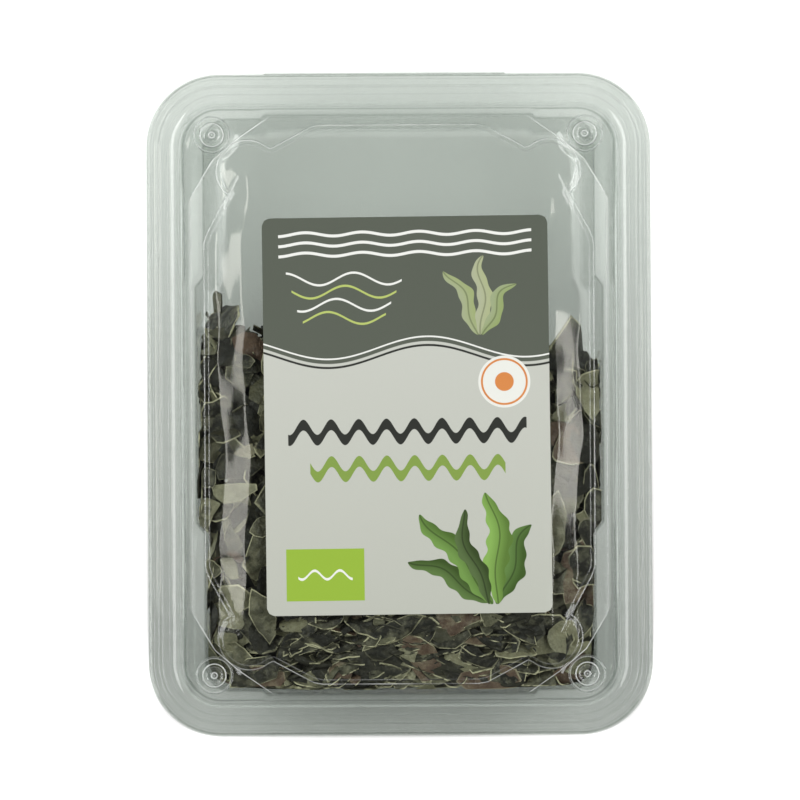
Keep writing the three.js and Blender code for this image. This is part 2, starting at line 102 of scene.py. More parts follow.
# Fine steps of the lid, too low for its mesh, which its surface shows instead: start, width and rise of
# each, how dark the painted shade line at its foot is and how light the painted highlight at its top
RIM_LINES = (
    (1.5, 0.25, 0.05, 0.25, 0.05),
    (3.8, 0.25, 0.06, 0.25, 0.07),
    (5.8, 0.25, 0.06, 0.25, 0.07),
    (8.5, 2.9, 0.0, 0.14, 0.0),
    (9.5, 0.35, 0.12, 0.35, 0.1),
    (12.6, 0.25, 0.08, 0.2, 0.1),
)
# The lobed field and the creases, in the same columns: their lines too are painted shade and painted
# highlight
FIELD_LINES = ((-0.2, 0.3, 0.1, 0.45, 0.4), (1.0, 0.3, 0.06, 0.25, 0.15))
CREASE_LINES = ((-0.1, 0.2, 0.08, 0.2, 0.8),)
LINE_SPREAD = 0.15  # how far a line spreads beyond its step
RAMP_MARGIN = 0.1  # by which a colour ramp reaches past its lines
NO_LINE = 9.0  # a distance past every line of the creases
SIDE_BAND = (9.0, 12.3)  # band of painted shade along the two long sides
BAND_FADE = (0.5, 0.7)  # over which it starts and ends
BAND_TURN = (-2.0, 4.0)  # how it fades where the long sides meet the ends
BAND_SHADE = 0.5
LOBE_X, LOBE_Y, LOBE_RADIUS = 41.9, 64.8, 8.6
LOBED_CHAIN = ((54, 0), (54, 46), (47.2, 58.6))
LOBED_CHAIN_END = ((35.3, 71.0), (23.3, 77.5), (0, 77.5))
CREASE = ((57.2, 58.5), (51.5, 68.0), (45.8, 73.0), (36.0, 79.8))
CREASE_SLOPE = 0.07
CROWN_FOOT_X = 50.8
CROWN_FALL_X = 9.3
CROWN_FALL_Y = 15.0
CROWN_WAVES = ((0.9, 92.0, 0.6), (0.5, 37.0, 2.1), (0.25, 17.0, 4.0))  # height, length and phase

# Waviness of the sheet: number of waves, shortest and longest, and their draw
RIPPLE_WAVES = 9
RIPPLE_LENGTHS = (16.0, 55.0)
RIPPLE_SEED = 11
RIM_RIPPLE = 0.3  # share of it that the rim has

# Dents: direction in degrees, length and shift of each wave, and where they die away
DENTS = ((14.0, 23.0, 0.2), (71.0, 31.0, 0.6), (-38.0, 19.0, 0.9))
DENT_LENGTH = 23.0
DENT_FROM, DENT_WIDTH = 40.0, 7.0
DENT_Y, DENT_REACH, DENT_FADE = 25.0, 38.0, 20.0
DENTS_LEFT, DENTS_RIGHT = 0.13, 0.05  # their heights

STUD_X, STUD_Y = 51.7, 74.9
STUD_FOOT = -0.35  # under the panel
STUD_LIFT = 0.07
STUD_GROUND, STUD_BLEND = 5.2, 3.0  # level ground under a stud, and the stretch that joins it to the panel
STUD_SIDES = 56
# Stud from its foot to its middle: radius and height
STUD_PROFILE = (
    (5.3, 0.0), (5.1, 0.03), (4.92, 0.1), (4.75, 0.13), (4.15, 0.13), (4.0, 0.1),
    (3.6, 0.1), (3.42, 0.14), (3.18, 0.3), (3.0, 0.34), (2.35, 0.34), (2.15, 0.3),
    (1.95, 0.18), (1.75, 0.15), (1.25, 0.15), (1.05, 0.22), (0.75, 0.3), (0.3, 0.32),
)
# Lines of the stud: radius, painted shade share and painted highlight share
STUD_LINES = (
    (0.0, 0.05, 0.3), (0.45, 0.4, 0.0), (0.8, 0.0, 0.35), (1.2, 0.3, 0.0),
    (1.85, 0.0, 0.05), (2.1, 0.15, 0.0), (2.35, 0.0, 0.1), (2.6, 0.0, 0.0),
    (3.0, 0.0, 0.0), (3.2, 0.05, 0.45), (3.45, 0.45, 0.0), (3.7, 0.0, 0.0),
    (4.55, 0.0, 0.0), (4.75, 0.0, 0.25), (5.0, 0.35, 0.0), (5.25, 0.0, 0.1),
)

# Tray wall, as distances in from the outline, and heights
TRAY_RIM = 9.6
TRAY_CORNER = 9.0  # least corner radius inside the rim
WALL_SIDE = 13.45
WALL_END = 11.4
WALL_DRAFT = 2.1
WALL_FOOT = 2.4
WALL_ROUND = 1.0  # the foot's rounding reaches this much further in
SHOULDER_Z = 28.9
FOOT_Z = 3.6
FOOT_TOP, FOOT_RISE = 4.5, 4.0  # where flakes start to feel the foot's rounding
FLOOR_Z = 0.45
FLOOR_INSET, FLOOR_SAG = 0.8, 0.05  # from the foot's end to the level floor
SIDE_PANEL = (34.15, 2.3)  # half-length of the wall's panel, and how far the wall stands in beyond it
END_PANEL = (37.9, 1.1)
PANEL_STEP = 1.4  # stretch over which the wall steps in
# Tray from its lip to its rim: distance in from the outline, and height over the flange
TRAY_EDGE = (
    (0.25, -2.2), (0.05, -1.2), (0.15, -0.4), (0.5, -0.08),
    (0.9, 0.0), (4.4, 0.0), (TRAY_RIM - 0.5, 0.0), (TRAY_RIM, -0.15),
)
SHOULDER_DROP, SHOULDER_ROUND = 0.4, 0.3  # room left for the bends at the shoulder's ends
SHOULDER_BEND = 2.2  # power of its curve
# Share of painted shade drawn along the tray's bends
BEND_SHADE = 0.5

# Bead along the hinge: half-length, middle, share of the room behind the joint, where its ends start and
# how far its straight part is divided evenly
BEAD_HALF = 33.7
BEAD_X = -3.75
BEAD_SHARE = 0.95
BEAD_END = 0.985
BEAD_STRAIGHT = 0.98
BEAD_TIP = 0.004  # least share of its area at the very end
BEAD_SIDES = 16

# Look of the clear sheet: share of the edge's tint and of gloss at a grazing angle, with their powers
EDGE_TINT, EDGE_POWER = 0.36, 3.0
GRAZING_GLOSS, GLOSS_POWER = 0.7, 5.0
SHEET_GLOSS = (0.06, 0.03)  # roughness, and share seen straight on
TRAY_GLOSS = (0.08, 0.022)
STUD_GLOSS = (0.12, 0.03)
STUD_TINT = (0.985, 0.99, 0.985)
# White of the painted highlights drawn on the clear sheets
HIGHLIGHT_WHITE = (0.9, 0.92, 0.9)
UNEVEN_HEIGHT = 0.03

# Label: turn in degrees, corner radius, and how far it lies off the lid
LABEL_TURN = 0.5
LABEL_RADIUS = 2.2
LABEL_LIFT = 0.03
LABEL_ROWS, LABEL_COLUMNS = 56, 41
INK = (0.022, 0.024, 0.02)
WHITE = (0.75, 0.76, 0.72)
PAPER_GREY = (0.68, 0.69, 0.66)
BACK_GREY = (0.6, 0.61, 0.57)
SOFT_GREEN = (0.2, 0.3, 0.06)
PALE_GREEN = (0.42, 0.5, 0.14)
DISC_WHITE = (0.72, 0.73, 0.68)
ORANGE = (0.6, 0.22, 0.06)
# Drawing on the label, in millimetres from its middle
BANDS = ((-4.4, 33.0, INK), (-14.6, 27.0, SOFT_GREEN))  # height, half-length, colour
# Waved lines: radians in a millimetre, rise, and half-width of the line
BAND_WAVE = (0.82, 2.1, 1.5)
HEADER_WAVE = (0.4, 0.5, 0.4)
CREST_WAVE = (0.33, 1.7, 0.3)
BLOCK_WAVE = (0.9, 1.2, 0.35)
# Header: height of its lower edge, with the radians in a millimetre, phase and rise of its wave, the lines
# under and over that edge, by their distance and half-width, and the lines at its top
HEADER_EDGE = 17.5
HEADER_SWELL = (0.115, 0.9, 3.0)
LINE_UNDER, LINE_OVER = (1.1, 0.3), (1.3, 0.22)
HEADER_LINES = (50.4, 47.6, 44.8)
HEADER_LINE_HALF = 35.0
CRESTS = ((38.0, WHITE), (34.4, PALE_GREEN), (30.8, WHITE), (27.2, PALE_GREEN))
CREST_X = -17.0
CREST_HALF, CREST_SHRINK = 16.0, 1.5  # half-length of the first, and how much each is shorter than the last
CREST_PHASE = 0.8  # between one and the next
DISC = (27.0, 9.0)
DISC_RADII = (7.2, 6.2, 2.6)  # edge, ring and dot
DISC_LINE = 0.28  # half-width of the ring
BLOCK = (-23.2, -43.8)
BLOCK_HALF = (10.8, 7.2)
BLOCK_CREST_HALF = 7.5
# Every blade: radians over its length and reach of the midrib's sway, power of its swell, radians in a
# millimetre and depth of its ruffle, then the midrib's half-width, share and shade
BLADE_SWAY = (7.5, 2.2)
BLADE_SWELL = 0.6
BLADE_RUFFLE = (1.15, 0.14)
MIDRIB_HALF, MIDRIB_SHARE, MIDRIB_SHADE = 0.22, 0.6, 0.35
HEADER_LIGHT, PICTURE_LIGHT = (0.75, 0.1), (2.1, 0.02)  # gain and lift of a blade's light side
# Blades: foot, direction in degrees, length, half-width, phase, colour, whether it stands in the header
KELP_BLADES = (
    (22.0, -52.0, 148.0, 25.0, 2.6, 0.4, (0.035, 0.07, 0.012), False),
    (24.0, -52.5, 66.0, 24.0, 3.0, 2.0, (0.04, 0.085, 0.014), False),
    (23.0, -52.5, 126.0, 32.0, 3.1, 1.2, (0.06, 0.12, 0.02), False),
    (24.5, -52.5, 92.0, 31.0, 3.4, 0.2, (0.09, 0.17, 0.03), False),
    (22.0, -52.5, 108.0, 27.0, 2.4, 3.1, (0.03, 0.055, 0.012), False),
    (20.0, 22.0, 112.0, 20.0, 2.0, 0.5, (0.3, 0.36, 0.16), True),
    (20.5, 22.0, 86.0, 22.0, 2.1, 1.7, (0.36, 0.4, 0.22), True),
    (21.0, 22.0, 60.0, 17.0, 1.9, 2.6, (0.26, 0.33, 0.13), True),
)

# Heap: where its free face crosses the floor's middle, and how it turns and leans
HEAP_Y = 15.0
HEAP_TURN = -0.082
HEAP_LEAN = -0.12
HEAP_MIDDLE_Z = 15.0
HEAP_CORNER = 8.5
WALL_GAP, FLOOR_GAP = 0.5, 0.9  # least room between the flakes and the tray
CEILING_GAP = 0.75  # between the lid and the heap
CROWN_GAP = 0.5  # more of it under the crown
FLAKE_SIDES = 14
FLAKE_RINGS = (0.38, 0.74, 1.0)
FLAKE_CUTS = 7
CUT_DEPTH = (0.55, 1.0)  # of a break, as a share of the flake's reach
FLAKE_NARROW = (0.45, 0.95)  # width as a share of length
FLAKE_REACH = 1.25  # longest share of its size that a flake reaches
FLAKE_UNEVEN = (0.14, 0.06)  # of the angles and of the reach
FLAKE_WAVE = 0.22
FLAKE_SPACE = (0.1, 1.3)  # room that a flake keeps of its own
# Kinds of flake, as shares of a draw: dark below the first, then olive, pale and brown
KIND_OLIVE, KIND_PALE, KIND_BROWN = 0.6, 0.84, 0.9
PALE_KINDS = (0.86, 0.89)
BROWN_KINDS = (0.94, 0.99)
STRAY_KINDS = (0.3, 0.8)
LOOSE_SEED = 40
LOOSE_SIZE = (1.05, 1.1)  # of a loose flake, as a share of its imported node's half-length
BLACK_BROWN = (0.012, 0.012, 0.008)
# Near black of the heap's core, painted shade for the depths between the flakes
CORE_SHADE = (0.006, 0.006, 0.004)
CLOUD_SCALE, GRAIN_SCALE, PATCH_SCALE = 300.0, 1900.0, 120.0
# Core of the heap: how far it stands in from the walls, at which height, and its own middle and half-height
CORE_INSET, CORE_Z = 6.0, 20.0
CORE_MIDDLE_Z, CORE_HALF_Z = 18.2, 12.6
# Flakes elsewhere: number, half-length and curl
FACE_FLAKES = (300, (3.0, 7.5), 2.2)
WALL_FLAKES = ((3.5, 8.5), 1.6)
SIDE_COUNT, END_COUNT, FLOOR_COUNT = 120, 110, 210
STRAY_FLAKES = ((7.0, 10.0), 2.0)
WALL_LAYER = (0.6, 4.0)  # how far off a wall its flakes lie
FLOOR_LAYER = (1.2, 5.0)
HEAP_LOW, HEAP_HIGH = 2.0, 33.0
# Layers under the lid: piece, number, corners of the region, depth under the lid, tilt, half-length, curl
HEAP_TOP = (
    ("kombu_top", 320, ((-57.0, -80.0), (57.0, 22.0)), (0.4, 5.5), 13.0, (3.2, 11.0), 1.3),
    ("kombu_second", 330, ((-57.0, -80.0), (57.0, 20.0)), (3.6, 8.5), 32.0, (3.4, 9.5), 2.2),
    ("kombu_edge_on", 200, ((-32.0, -79.0), (36.0, -58.0)), (0.6, 5.5), 20.0, (3.6, 9.5), 1.4),
)
# Middle of each stray flake, and the way it faces
STRAYS = (
    ((-51.3, 26.0, 20.0), (-0.95, 0.05, 0.3)),
    ((-51.0, 20.0, 27.0), (-0.8, 0.2, 0.55)),
    ((-49.5, 18.0, 31.0), (-0.4, 0.3, 0.85)),
    ((50.5, 12.5, 27.0), (0.75, 0.2, 0.6)),
)

# Painted light of the floor itself, a glow though it is no lamp, which keeps the shadow off it: level at the
# foot and at the head of the box; the lower level at the foot darkens the flange there as painted shade
FLOOR_GLOW = (0.1, 0.66)
GLOW_FROM, GLOW_TO = -90.0, 90.0
GLOW_OUTSIDE = 0.8  # beyond the box, where the photograph's ground is white
GLOW_EDGE = 1.052  # as a share of the box's outline, rounded off by a power
GLOW_POWER = 9.0
GLOW_SOFT = 0.015
WARM = (1.0, 0.97, 0.9)
CAMERA_LENS = 135.0
CAMERA_SENSOR = 36.0
CAMERA_ROLL = -0.3
CAMERA_NEAR = 0.05
MM_PER_PIXEL = 0.2785
PHOTO_SIZE = 800
PHOTO_MIDDLE = (399.5, 403.5)  # pixel of the box's middle in the photograph
FLOOR_HALF = 12000.0
FLOOR_TOP = -0.2
WHITE_LIGHT = (1.0, 1.0, 1.0)
# Lamps: place and size in metres, power in watts, colour
LAMPS = {
    "soft_box_left": ((-0.62, 0.05, 0.62), (0.95, 0.5), 7.6, WHITE_LIGHT),
    "soft_box_right": ((0.62, 0.05, 0.62), (0.95, 0.5), 7.4, WHITE_LIGHT),
    "strip_left": ((-0.4, 0.03, 0.94), (0.3, 0.07), 0.32, WARM),
    "strip_right": ((0.4, -0.036, 0.94), (0.2, 0.035), 0.14, WARM),
}
LAMP_TARGET = (0.0, 0.0, 0.03)
WORLD_COLOUR = (0.97, 0.985, 1.0, 1.0)
WORLD_STRENGTH = 0.05


def distance_property(name, description, default):
    """A length that the sidebar shows in scene units."""
    return bpy.props.FloatProperty(
        name=name, description=description, default=default, min=0.0, subtype="DISTANCE", unit="LENGTH"
    )


def colour_property(name, description, default):
    """A colour that the sidebar shows as a swatch."""
    return bpy.props.FloatVectorProperty(
        name=name, description=description, default=default, size=3, min=0.0, max=1.0, subtype="COLOR"
    )


class KombuBoxSizes(bpy.types.PropertyGroup):
    """Sizes that a user would change."""

    sheet: distance_property("Sheet", "Thickness of the clear sheet", 0.00035)
    paper: distance_property("Label", "Thickness of the label", 0.00014)
    flake: distance_property("Flake", "Thickness of a kombu flake", 0.00032)
    ripple: distance_property("Ripple", "Height of the waviness of the lid", 0.00007)
    flakes: bpy.props.FloatProperty(
        name="Flakes", description="Share of the usual number of flakes", default=1.0, min=0.1, max=1.5
    )
    seed: bpy.props.IntProperty(name="Seed", description="Draw of the flakes", default=7, min=0)


class KombuBoxColours(bpy.types.PropertyGroup):
    """Colours that a user would change."""

    sheet: colour_property("Sheet", "Tint of the clear sheet seen straight on", (0.825, 0.84, 0.826))
    sheet_edge: colour_property("Sheet edge", "Tint of the clear sheet seen edge on", (0.45, 0.49, 0.46))
    kombu_dark: colour_property("Dark flakes", "Dark green-grey kombu", (0.017, 0.016, 0.009))
    kombu_olive: colour_property("Olive flakes", "Grey olive kombu", (0.35, 0.335, 0.2))
    kombu_brown: colour_property("Brown flakes", "Red-brown kombu", (0.19, 0.115, 0.075))
    kombu_bloom: colour_property("Bloom", "Pale bloom on the flakes", (0.48, 0.46, 0.31))
    kombu_edge: colour_property("Broken edge", "Pale broken edge of a flake", (0.8, 0.76, 0.5))
    label_pale: colour_property("Label field", "Pale field of the label", (0.44, 0.455, 0.4))
    label_dark: colour_property("Label header", "Dark header of the label", (0.088, 0.1, 0.078))
    label_green: colour_property("Label green", "Green of the label's block", (0.27, 0.42, 0.042))
    floor: colour_property("Floor", "Pale floor", (0.9, 0.9, 0.9))


class Socket:
    """A shader socket that takes Python's operators, each of which adds one Math node."""

    def __init__(self, paint, socket):
        self.paint = paint
        self.socket = socket

    def math(self, operation, *others):
        values = dict(enumerate((self, *others)))
        return self.paint.value("ShaderNodeMath", {"operation": operation}, values)

    def swapped(self, operation, other):
        return self.paint.value("ShaderNodeMath", {"operation": operation}, {0: other, 1: self})

    def __add__(self, other):
        return self.math("ADD", other)

    __radd__ = __add__

    def __sub__(self, other):
        return self.math("SUBTRACT", other)

    def __rsub__(self, other):
        return self.swapped("SUBTRACT", other)

    def __mul__(self, other):
        return self.math("MULTIPLY", other)

    __rmul__ = __mul__

    def __truediv__(self, other):
        return self.math("DIVIDE", other)

    def __pow__(self, other):
        return self.math("POWER", other)

    def sine(self):
        return self.math("SINE")

    def size(self):
        return self.math("ABSOLUTE")

    def clamped(self):
        return self.math("MAXIMUM", 0.0).math("MINIMUM", 1.0)

    def below(self, limit, soft=0.12):
        """1 where the value is under the limit, 0 over it, with a soft step."""
        return ((limit - self) / soft + 0.5).clamped()

    def above(self, limit, soft=0.12):
        return ((self - limit) / soft + 0.5).clamped()


class Paint:
    """The nodes of one material."""

    def __init__(self, name):
        self.material = bpy.data.materials.new(name)
        self.material.use_nodes = True
        self.tree = self.material.node_tree
        self.tree.nodes.clear()

    def node(self, kind, settings=None, values=None):
        """One node: its settings first, with a ramp's stops among them, then its sockets."""
        made = self.tree.nodes.new(kind)
        for key, value in (settings or {}).items():
            if key == "stops":
                self.set_stops(made.color_ramp, value)
            else:
                setattr(made, key, value)
        for key, value in (values or {}).items():
            if isinstance(value, Socket):
                self.tree.links.new(value.socket, made.inputs[key])
            elif value is not None:
                made.inputs[key].default_value = value
        return made

    @staticmethod
    def set_stops(ramp, stops):
        while len(ramp.elements) < len(stops):
            ramp.elements.new(0.5)
        for element, (place, colour) in zip(ramp.elements, stops):
            element.position = place
            element.color = (*colour, 1.0)

    def out(self, node, name=0):
        return Socket(self, node.outputs[name])

    def value(self, node_kind, settings=None, values=None, name=0):
        return self.out(self.node(node_kind, settings, values), name)

    def mix(self, share, first, second):
        """A colour between two, by a share."""
        made = self.node("ShaderNodeMix", {"data_type": "RGBA", "clamp_factor": True}, {0: share})
        for place, colour in ((6, first), (7, second)):
            if isinstance(colour, Socket):
                self.tree.links.new(colour.socket, made.inputs[place])
            else:
                made.inputs[place].default_value = (*colour, 1.0)
        return self.out(made, 2)

    def attribute(self, name):
        return self.value("ShaderNodeAttribute", {"attribute_name": name}, name="Fac")

    def place(self):
        """Object coordinates."""
        return self.value("ShaderNodeTexCoord", name="Object")

    def noise(self, scale, detail, rough=0.5):
        values = {"Vector": self.place(), "Scale": scale, "Detail": detail, "Roughness": rough}
        return self.value("ShaderNodeTexNoise", None, values)

    def bump(self, height, strength, distance):
        values = {"Height": height, "Strength": strength, "Distance": distance}
        return self.value("ShaderNodeBump", None, values)

    def mix_shader(self, share, first, second):
        return self.value("ShaderNodeMixShader", None, {0: share, 1: first, 2: second})

    def finish(self, shader):
        self.node("ShaderNodeOutputMaterial", None, {"Surface": shader})
        return self.material


def shared(name, build):
    """A material that several pieces share, built by the first one that asks for it."""
    return bpy.data.materials.get(name) or build(bpy.context.scene.kombu_colours)


def smooth(x, start, width):
    """0 before start, 1 after start + width, and 3t^2 - 2t^3 between."""
    t = np.clip((x - start) / width, 0.0, 1.0)
    return t * t * (3.0 - 2.0 * t)


def make_object(name, points, faces, material, body=None, shade=True):
    """A mesh object from points in millimetres, whole arrays at a time. It rides on a body if given one."""
    mesh = bpy.data.meshes.new(name)
    points = np.ascontiguousarray(points.reshape(-1, 3) * MM, dtype=np.float32)
    sizes = np.array([f.shape[1] for f in faces for _ in range(len(f))], dtype=np.int32)
    corners = np.concatenate([f.ravel() for f in faces]).astype(np.int32)
    mesh.vertices.add(len(points))
    mesh.vertices.foreach_set("co", points.ravel())
    mesh.loops.add(len(corners))
    mesh.loops.foreach_set("vertex_index", corners)
    mesh.polygons.add(len(sizes))
    starts = np.concatenate(([0], np.cumsum(sizes)[:-1])).astype(np.int32)
    mesh.polygons.foreach_set("loop_start", starts)
    mesh.polygons.foreach_set("use_smooth", np.full(len(sizes), shade))
    mesh.update(calc_edges=True)
    mesh.validate()
    mesh.materials.append(material)
    made = bpy.data.objects.new(name, mesh)
    bpy.context.scene.collection.objects.link(made)
    if body:
        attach(made, body)
    return made


def add_attribute(made, name, values):
    """One number for each vertex."""
    attribute = made.data.attributes.new(name, "FLOAT", "POINT")
    attribute.data.foreach_set("value", np.ascontiguousarray(values, dtype=np.float32).ravel())


def solidify(made, thickness):
    """Gives a sheet its thickness, on the side that its normals point away from."""
    wall = made.modifiers.new("thickness", "SOLIDIFY")
    wall.thickness = thickness
    wall.offset = -1.0
    return wall


# Rounded rectangle family: every ring of a shell is one of them, and a grid fills the last one.


def axis_lines(half, radius, cells, middle):
    """Grid lines across the panel: close in and beside the corners, wide in the middle."""
    corner = np.linspace(half - radius, half, cells + 1)
    beside = np.linspace(half - radius - BESIDE, half - radius, cells + 1)[:-1]
    right = np.concatenate((beside, corner))
    centre = np.linspace(-right[0], right[0], middle + 1)[1:-1]
    return np.concatenate((-right[::-1], centre, right))


class RoundedGrid:
    """Points as a share of the straight-sided core and a step out of it, for any rounded rectangle.

    In a corner the square cell (u, v) goes onto the quarter disc (u sqrt(1 - v^2/2), v sqrt(1 - u^2/2)).
    """

    def __init__(self, cells):
        across, along = MIDDLE_CELLS
        x, y = np.meshgrid(
            axis_lines(PANEL_X, PANEL_RADIUS, cells, across), axis_lines(PANEL_Y, PANEL_RADIUS, cells, along)
        )
        core_x = np.clip(x, PANEL_RADIUS - PANEL_X, PANEL_X - PANEL_RADIUS)
        core_y = np.clip(y, PANEL_RADIUS - PANEL_Y, PANEL_Y - PANEL_RADIUS)
        u = (x - core_x) / PANEL_RADIUS
        v = (y - core_y) / PANEL_RADIUS
        self.share = np.stack((core_x / (PANEL_X - PANEL_RADIUS), core_y / (PANEL_Y - PANEL_RADIUS)), -1)
        self.step = np.stack((u * np.sqrt(1 - v * v / 2), v * np.sqrt(1 - u * u / 2)), -1)
        rows, columns = x.shape
        index = np.arange(rows * columns).reshape(rows, columns)
        self.loop = np.concatenate((index[0, :-1], index[:-1, -1], index[-1, :0:-1], index[:0:-1, 0]))
        self.index = index

    def at(self, half_x, half_y, radius, edge=False):
        """The grid, or its edge alone, in a rounded rectangle round the box's middle."""
        share = self.share.reshape(-1, 2)
        step = self.step.reshape(-1, 2)
        if edge:
            share, step = share[self.loop], step[self.loop]
        core = share * (half_x - radius, half_y - radius)
        return core + step * radius, step

    def faces(self, rings):
        """Quads between the rings, from the last ring to the grid's edge, and over the grid."""
        count = len(self.loop)
        ring = np.arange(rings * count).reshape(rings, count)
        inner = np.concatenate((ring[1:], [rings * count + self.loop]))
        after = np.roll(ring, -1, 1)
        inner_after = np.roll(inner, -1, 1)
        skirt = np.stack((ring, after, inner_after, inner), -1).reshape(-1, 4)
        index = self.index + rings * count
        grid = np.stack((index[:-1, :-1], index[:-1, 1:], index[1:, 1:], index[1:, :-1]), -1)
        return [np.concatenate((skirt, grid.reshape(-1, 4)))]


LID_GRID = RoundedGrid(LID_CELLS)
TRAY_GRID = RoundedGrid(TRAY_CELLS)


def inset_list(steps, last, between=1.6):
    """Distances in from the edge: several over each step, and a few between steps."""
    marks = [0.0]
    for start, width, _ in steps:
        marks += list(np.linspace(start, start + width, 6))
    marks.append(last)
    marks = sorted(set(round(m, 3) for m in marks if m <= last))
    filled = []
    for a, b in zip(marks, marks[1:]):
        filled += list(np.linspace(a, b, max(1, int(np.ceil((b - a) / between))) + 1)[:-1])
    return np.array(filled)


# Lid


def lobed_outline():
    """First quarter of the lobed field's outline, with an arc between two notches. The others are its mirror
    images, because distances to it are taken from |x| and |y|."""
    start = np.arctan2(LOBED_CHAIN[-1][1] - LOBE_Y, LOBED_CHAIN[-1][0] - LOBE_X)
    end = np.arctan2(LOBED_CHAIN_END[0][1] - LOBE_Y, LOBED_CHAIN_END[0][0] - LOBE_X)
    angles = np.linspace(start, end, 24)[1:-1]
    arc = np.stack((LOBE_X + LOBE_RADIUS * np.cos(angles), LOBE_Y + LOBE_RADIUS * np.sin(angles)), -1)
    return np.concatenate((LOBED_CHAIN, arc, LOBED_CHAIN_END))


def chain_distance(x, y, chain):
    """Distance from points to a chain: the least over its stretches, negative on the chain's left. For a
    chain run with x falling the left is outside."""
    a, b = chain[:-1], chain[1:]
    along = b - a
    px = x[..., None] - a[:, 0]
    py = y[..., None] - a[:, 1]
    t = np.clip((px * along[:, 0] + py * along[:, 1]) / (along**2).sum(1), 0.0, 1.0)
    dx = px - t * along[:, 0]
    dy = py - t * along[:, 1]
    distance = np.hypot(dx, dy)
    nearest = distance.argmin(-1)[..., None]
    side = np.take_along_axis(along[:, 0] * py - along[:, 1] * px, nearest, -1)[..., 0]
    return np.where(side > 0, 1.0, -1.0) * distance.min(-1)


def ripple(x, y, height):
    """Waviness: a sum of sines in random directions, between two wavelengths."""
    rng = np.random.default_rng(RIPPLE_SEED)
    total = np.zeros_like(x)
    for _ in range(RIPPLE_WAVES):
        angle = rng.uniform(0, np.pi)
        number = 2 * np.pi / rng.uniform(*RIPPLE_LENGTHS)
        phase = rng.uniform(0, 2 * np.pi)
        total += np.sin(number * (x * np.cos(angle) + y * np.sin(angle)) + phase) / RIPPLE_WAVES**0.5
    return total * height


def straight_slope(t):
    """0 to 1 with a straight middle: its slope rises over the first seventh and falls over the last."""
    t = np.clip(t, 0.0, 1.0)
    a = 1.0 / 7.0
    low = np.minimum(t, a)
    high = np.maximum(t - (1.0 - a), 0.0)
    return (low**2 / (2 * a) + np.maximum(t - a, 0.0) - high**2 / (2 * a)) / (1.0 - a)


def crown_share(x, y):
    """How far the lid has risen to its flat middle, as a share. The foot of its sides is wavy."""
    foot = CROWN_FOOT_X + sum(
        height * np.sin(2 * np.pi * y / length + phase + np.sign(x)) for height, length, phase in CROWN_WAVES
    )
    across = straight_slope((foot - np.abs(x)) / CROWN_FALL_X)
    return across * straight_slope((LOBED_CHAIN_END[-1][1] - np.abs(y)) / CROWN_FALL_Y)


def lid_relief(x, y):
    """What the lid's panel has on top of its steps: crown, lobed field, corner creases, dents and the level
    ground under each stud."""
    ax, ay = np.abs(x), np.abs(y)
    start, width, rise = LOBED_STEP
    relief = (CROWN_Z - PANEL_Z - rise) * crown_share(x, y)
    relief += rise * smooth(chain_distance(ax, ay, lobed_outline()), start, width)
    relief -= CREASE_SLOPE * np.clip(-chain_distance(ax, ay, np.array(CREASE)), 0, None)
    relief += dents(x, y)
    reach = np.hypot(ax - STUD_X, ay - STUD_Y)
    return relief + (1 - smooth(reach, STUD_GROUND, STUD_BLEND)) * (STUD_FOOT - relief)


def dents(x, y):
    """Dents beside the middle, as a pulled sheet gets: waves of straight slopes, |t - round(t)|, in three
    directions, which leave flat facets. They die away towards the middle and the ends."""
    total = np.zeros_like(x)
    for angle, length, shift in DENTS:
        turn = np.radians(angle)
        t = (x * np.cos(turn) + y * np.sin(turn)) / length + shift
        total += np.abs(t - np.round(t)) * 2 * length / DENT_LENGTH
    side = smooth(np.abs(x), DENT_FROM, DENT_WIDTH)
    side = side * (1 - smooth(np.abs(y - DENT_Y), DENT_REACH, DENT_FADE))
    return (total - total.mean()) * side * np.where(x < 0, DENTS_LEFT, DENTS_RIGHT)


def side_shade_band(x, y, inset):
    """Share of the band of painted shade: between two insets, along the long sides and fading at the corners.
    """
    long_side = smooth(np.abs(x) - HALF_X - np.abs(y) + HALF_Y, *BAND_TURN)
    start, end = SIDE_BAND
    fade_in, fade_out = BAND_FADE
    return smooth(inset, start, fade_in) * (1 - smooth(inset, end - fade_out, fade_out)) * long_side


def lid_points(height):
    """The lid's upper face: height above the flange is the sum of its steps inwards, plus the relief."""
    insets = inset_list(LID_STEPS, PANEL_INSET)
    rings = []
    for inset in insets:
        radius = np.interp(inset, (0, PANEL_INSET), (CORNER_RADIUS, PANEL_RADIUS))
        flat, _ = LID_GRID.at(HALF_X - inset, HALF_Y - inset, radius, edge=True)
        rings.append(np.column_stack((flat, np.full(len(flat), inset))))
    flat, _ = LID_GRID.at(PANEL_X, PANEL_Y, PANEL_RADIUS)
    rings.append(np.column_stack((flat, panel_inset(*flat.T))))
    points = np.concatenate(rings)
    x, y, inset = points.T
    z = np.full(len(points), LID_FLANGE_Z)
    for start, width, rise in LID_STEPS:
        z += rise * smooth(inset, start, width)
    inner = smooth(inset, RELIEF_FROM, PANEL_INSET - RELIEF_FROM)
    z += inner * lid_relief(x, y) + (RIM_RIPPLE + (1 - RIM_RIPPLE) * inner) * ripple(x, y, height)
    crease = chain_distance(np.abs(x), np.abs(y), np.array(CREASE))
    inset = np.where(crease < 0, np.minimum(inset, PANEL_INSET), inset)
    values = {
        "inset": inset,
        "field": chain_distance(np.abs(x), np.abs(y), lobed_outline()),
        "crease": np.where(inner > 0.5, crease, NO_LINE),
        # The side band is painted shade: the sheet passes less light there.
        "band": side_shade_band(x, y, inset) * BAND_SHADE,
    }
    return np.column_stack((x, y + MID_Y, z)), len(insets), values


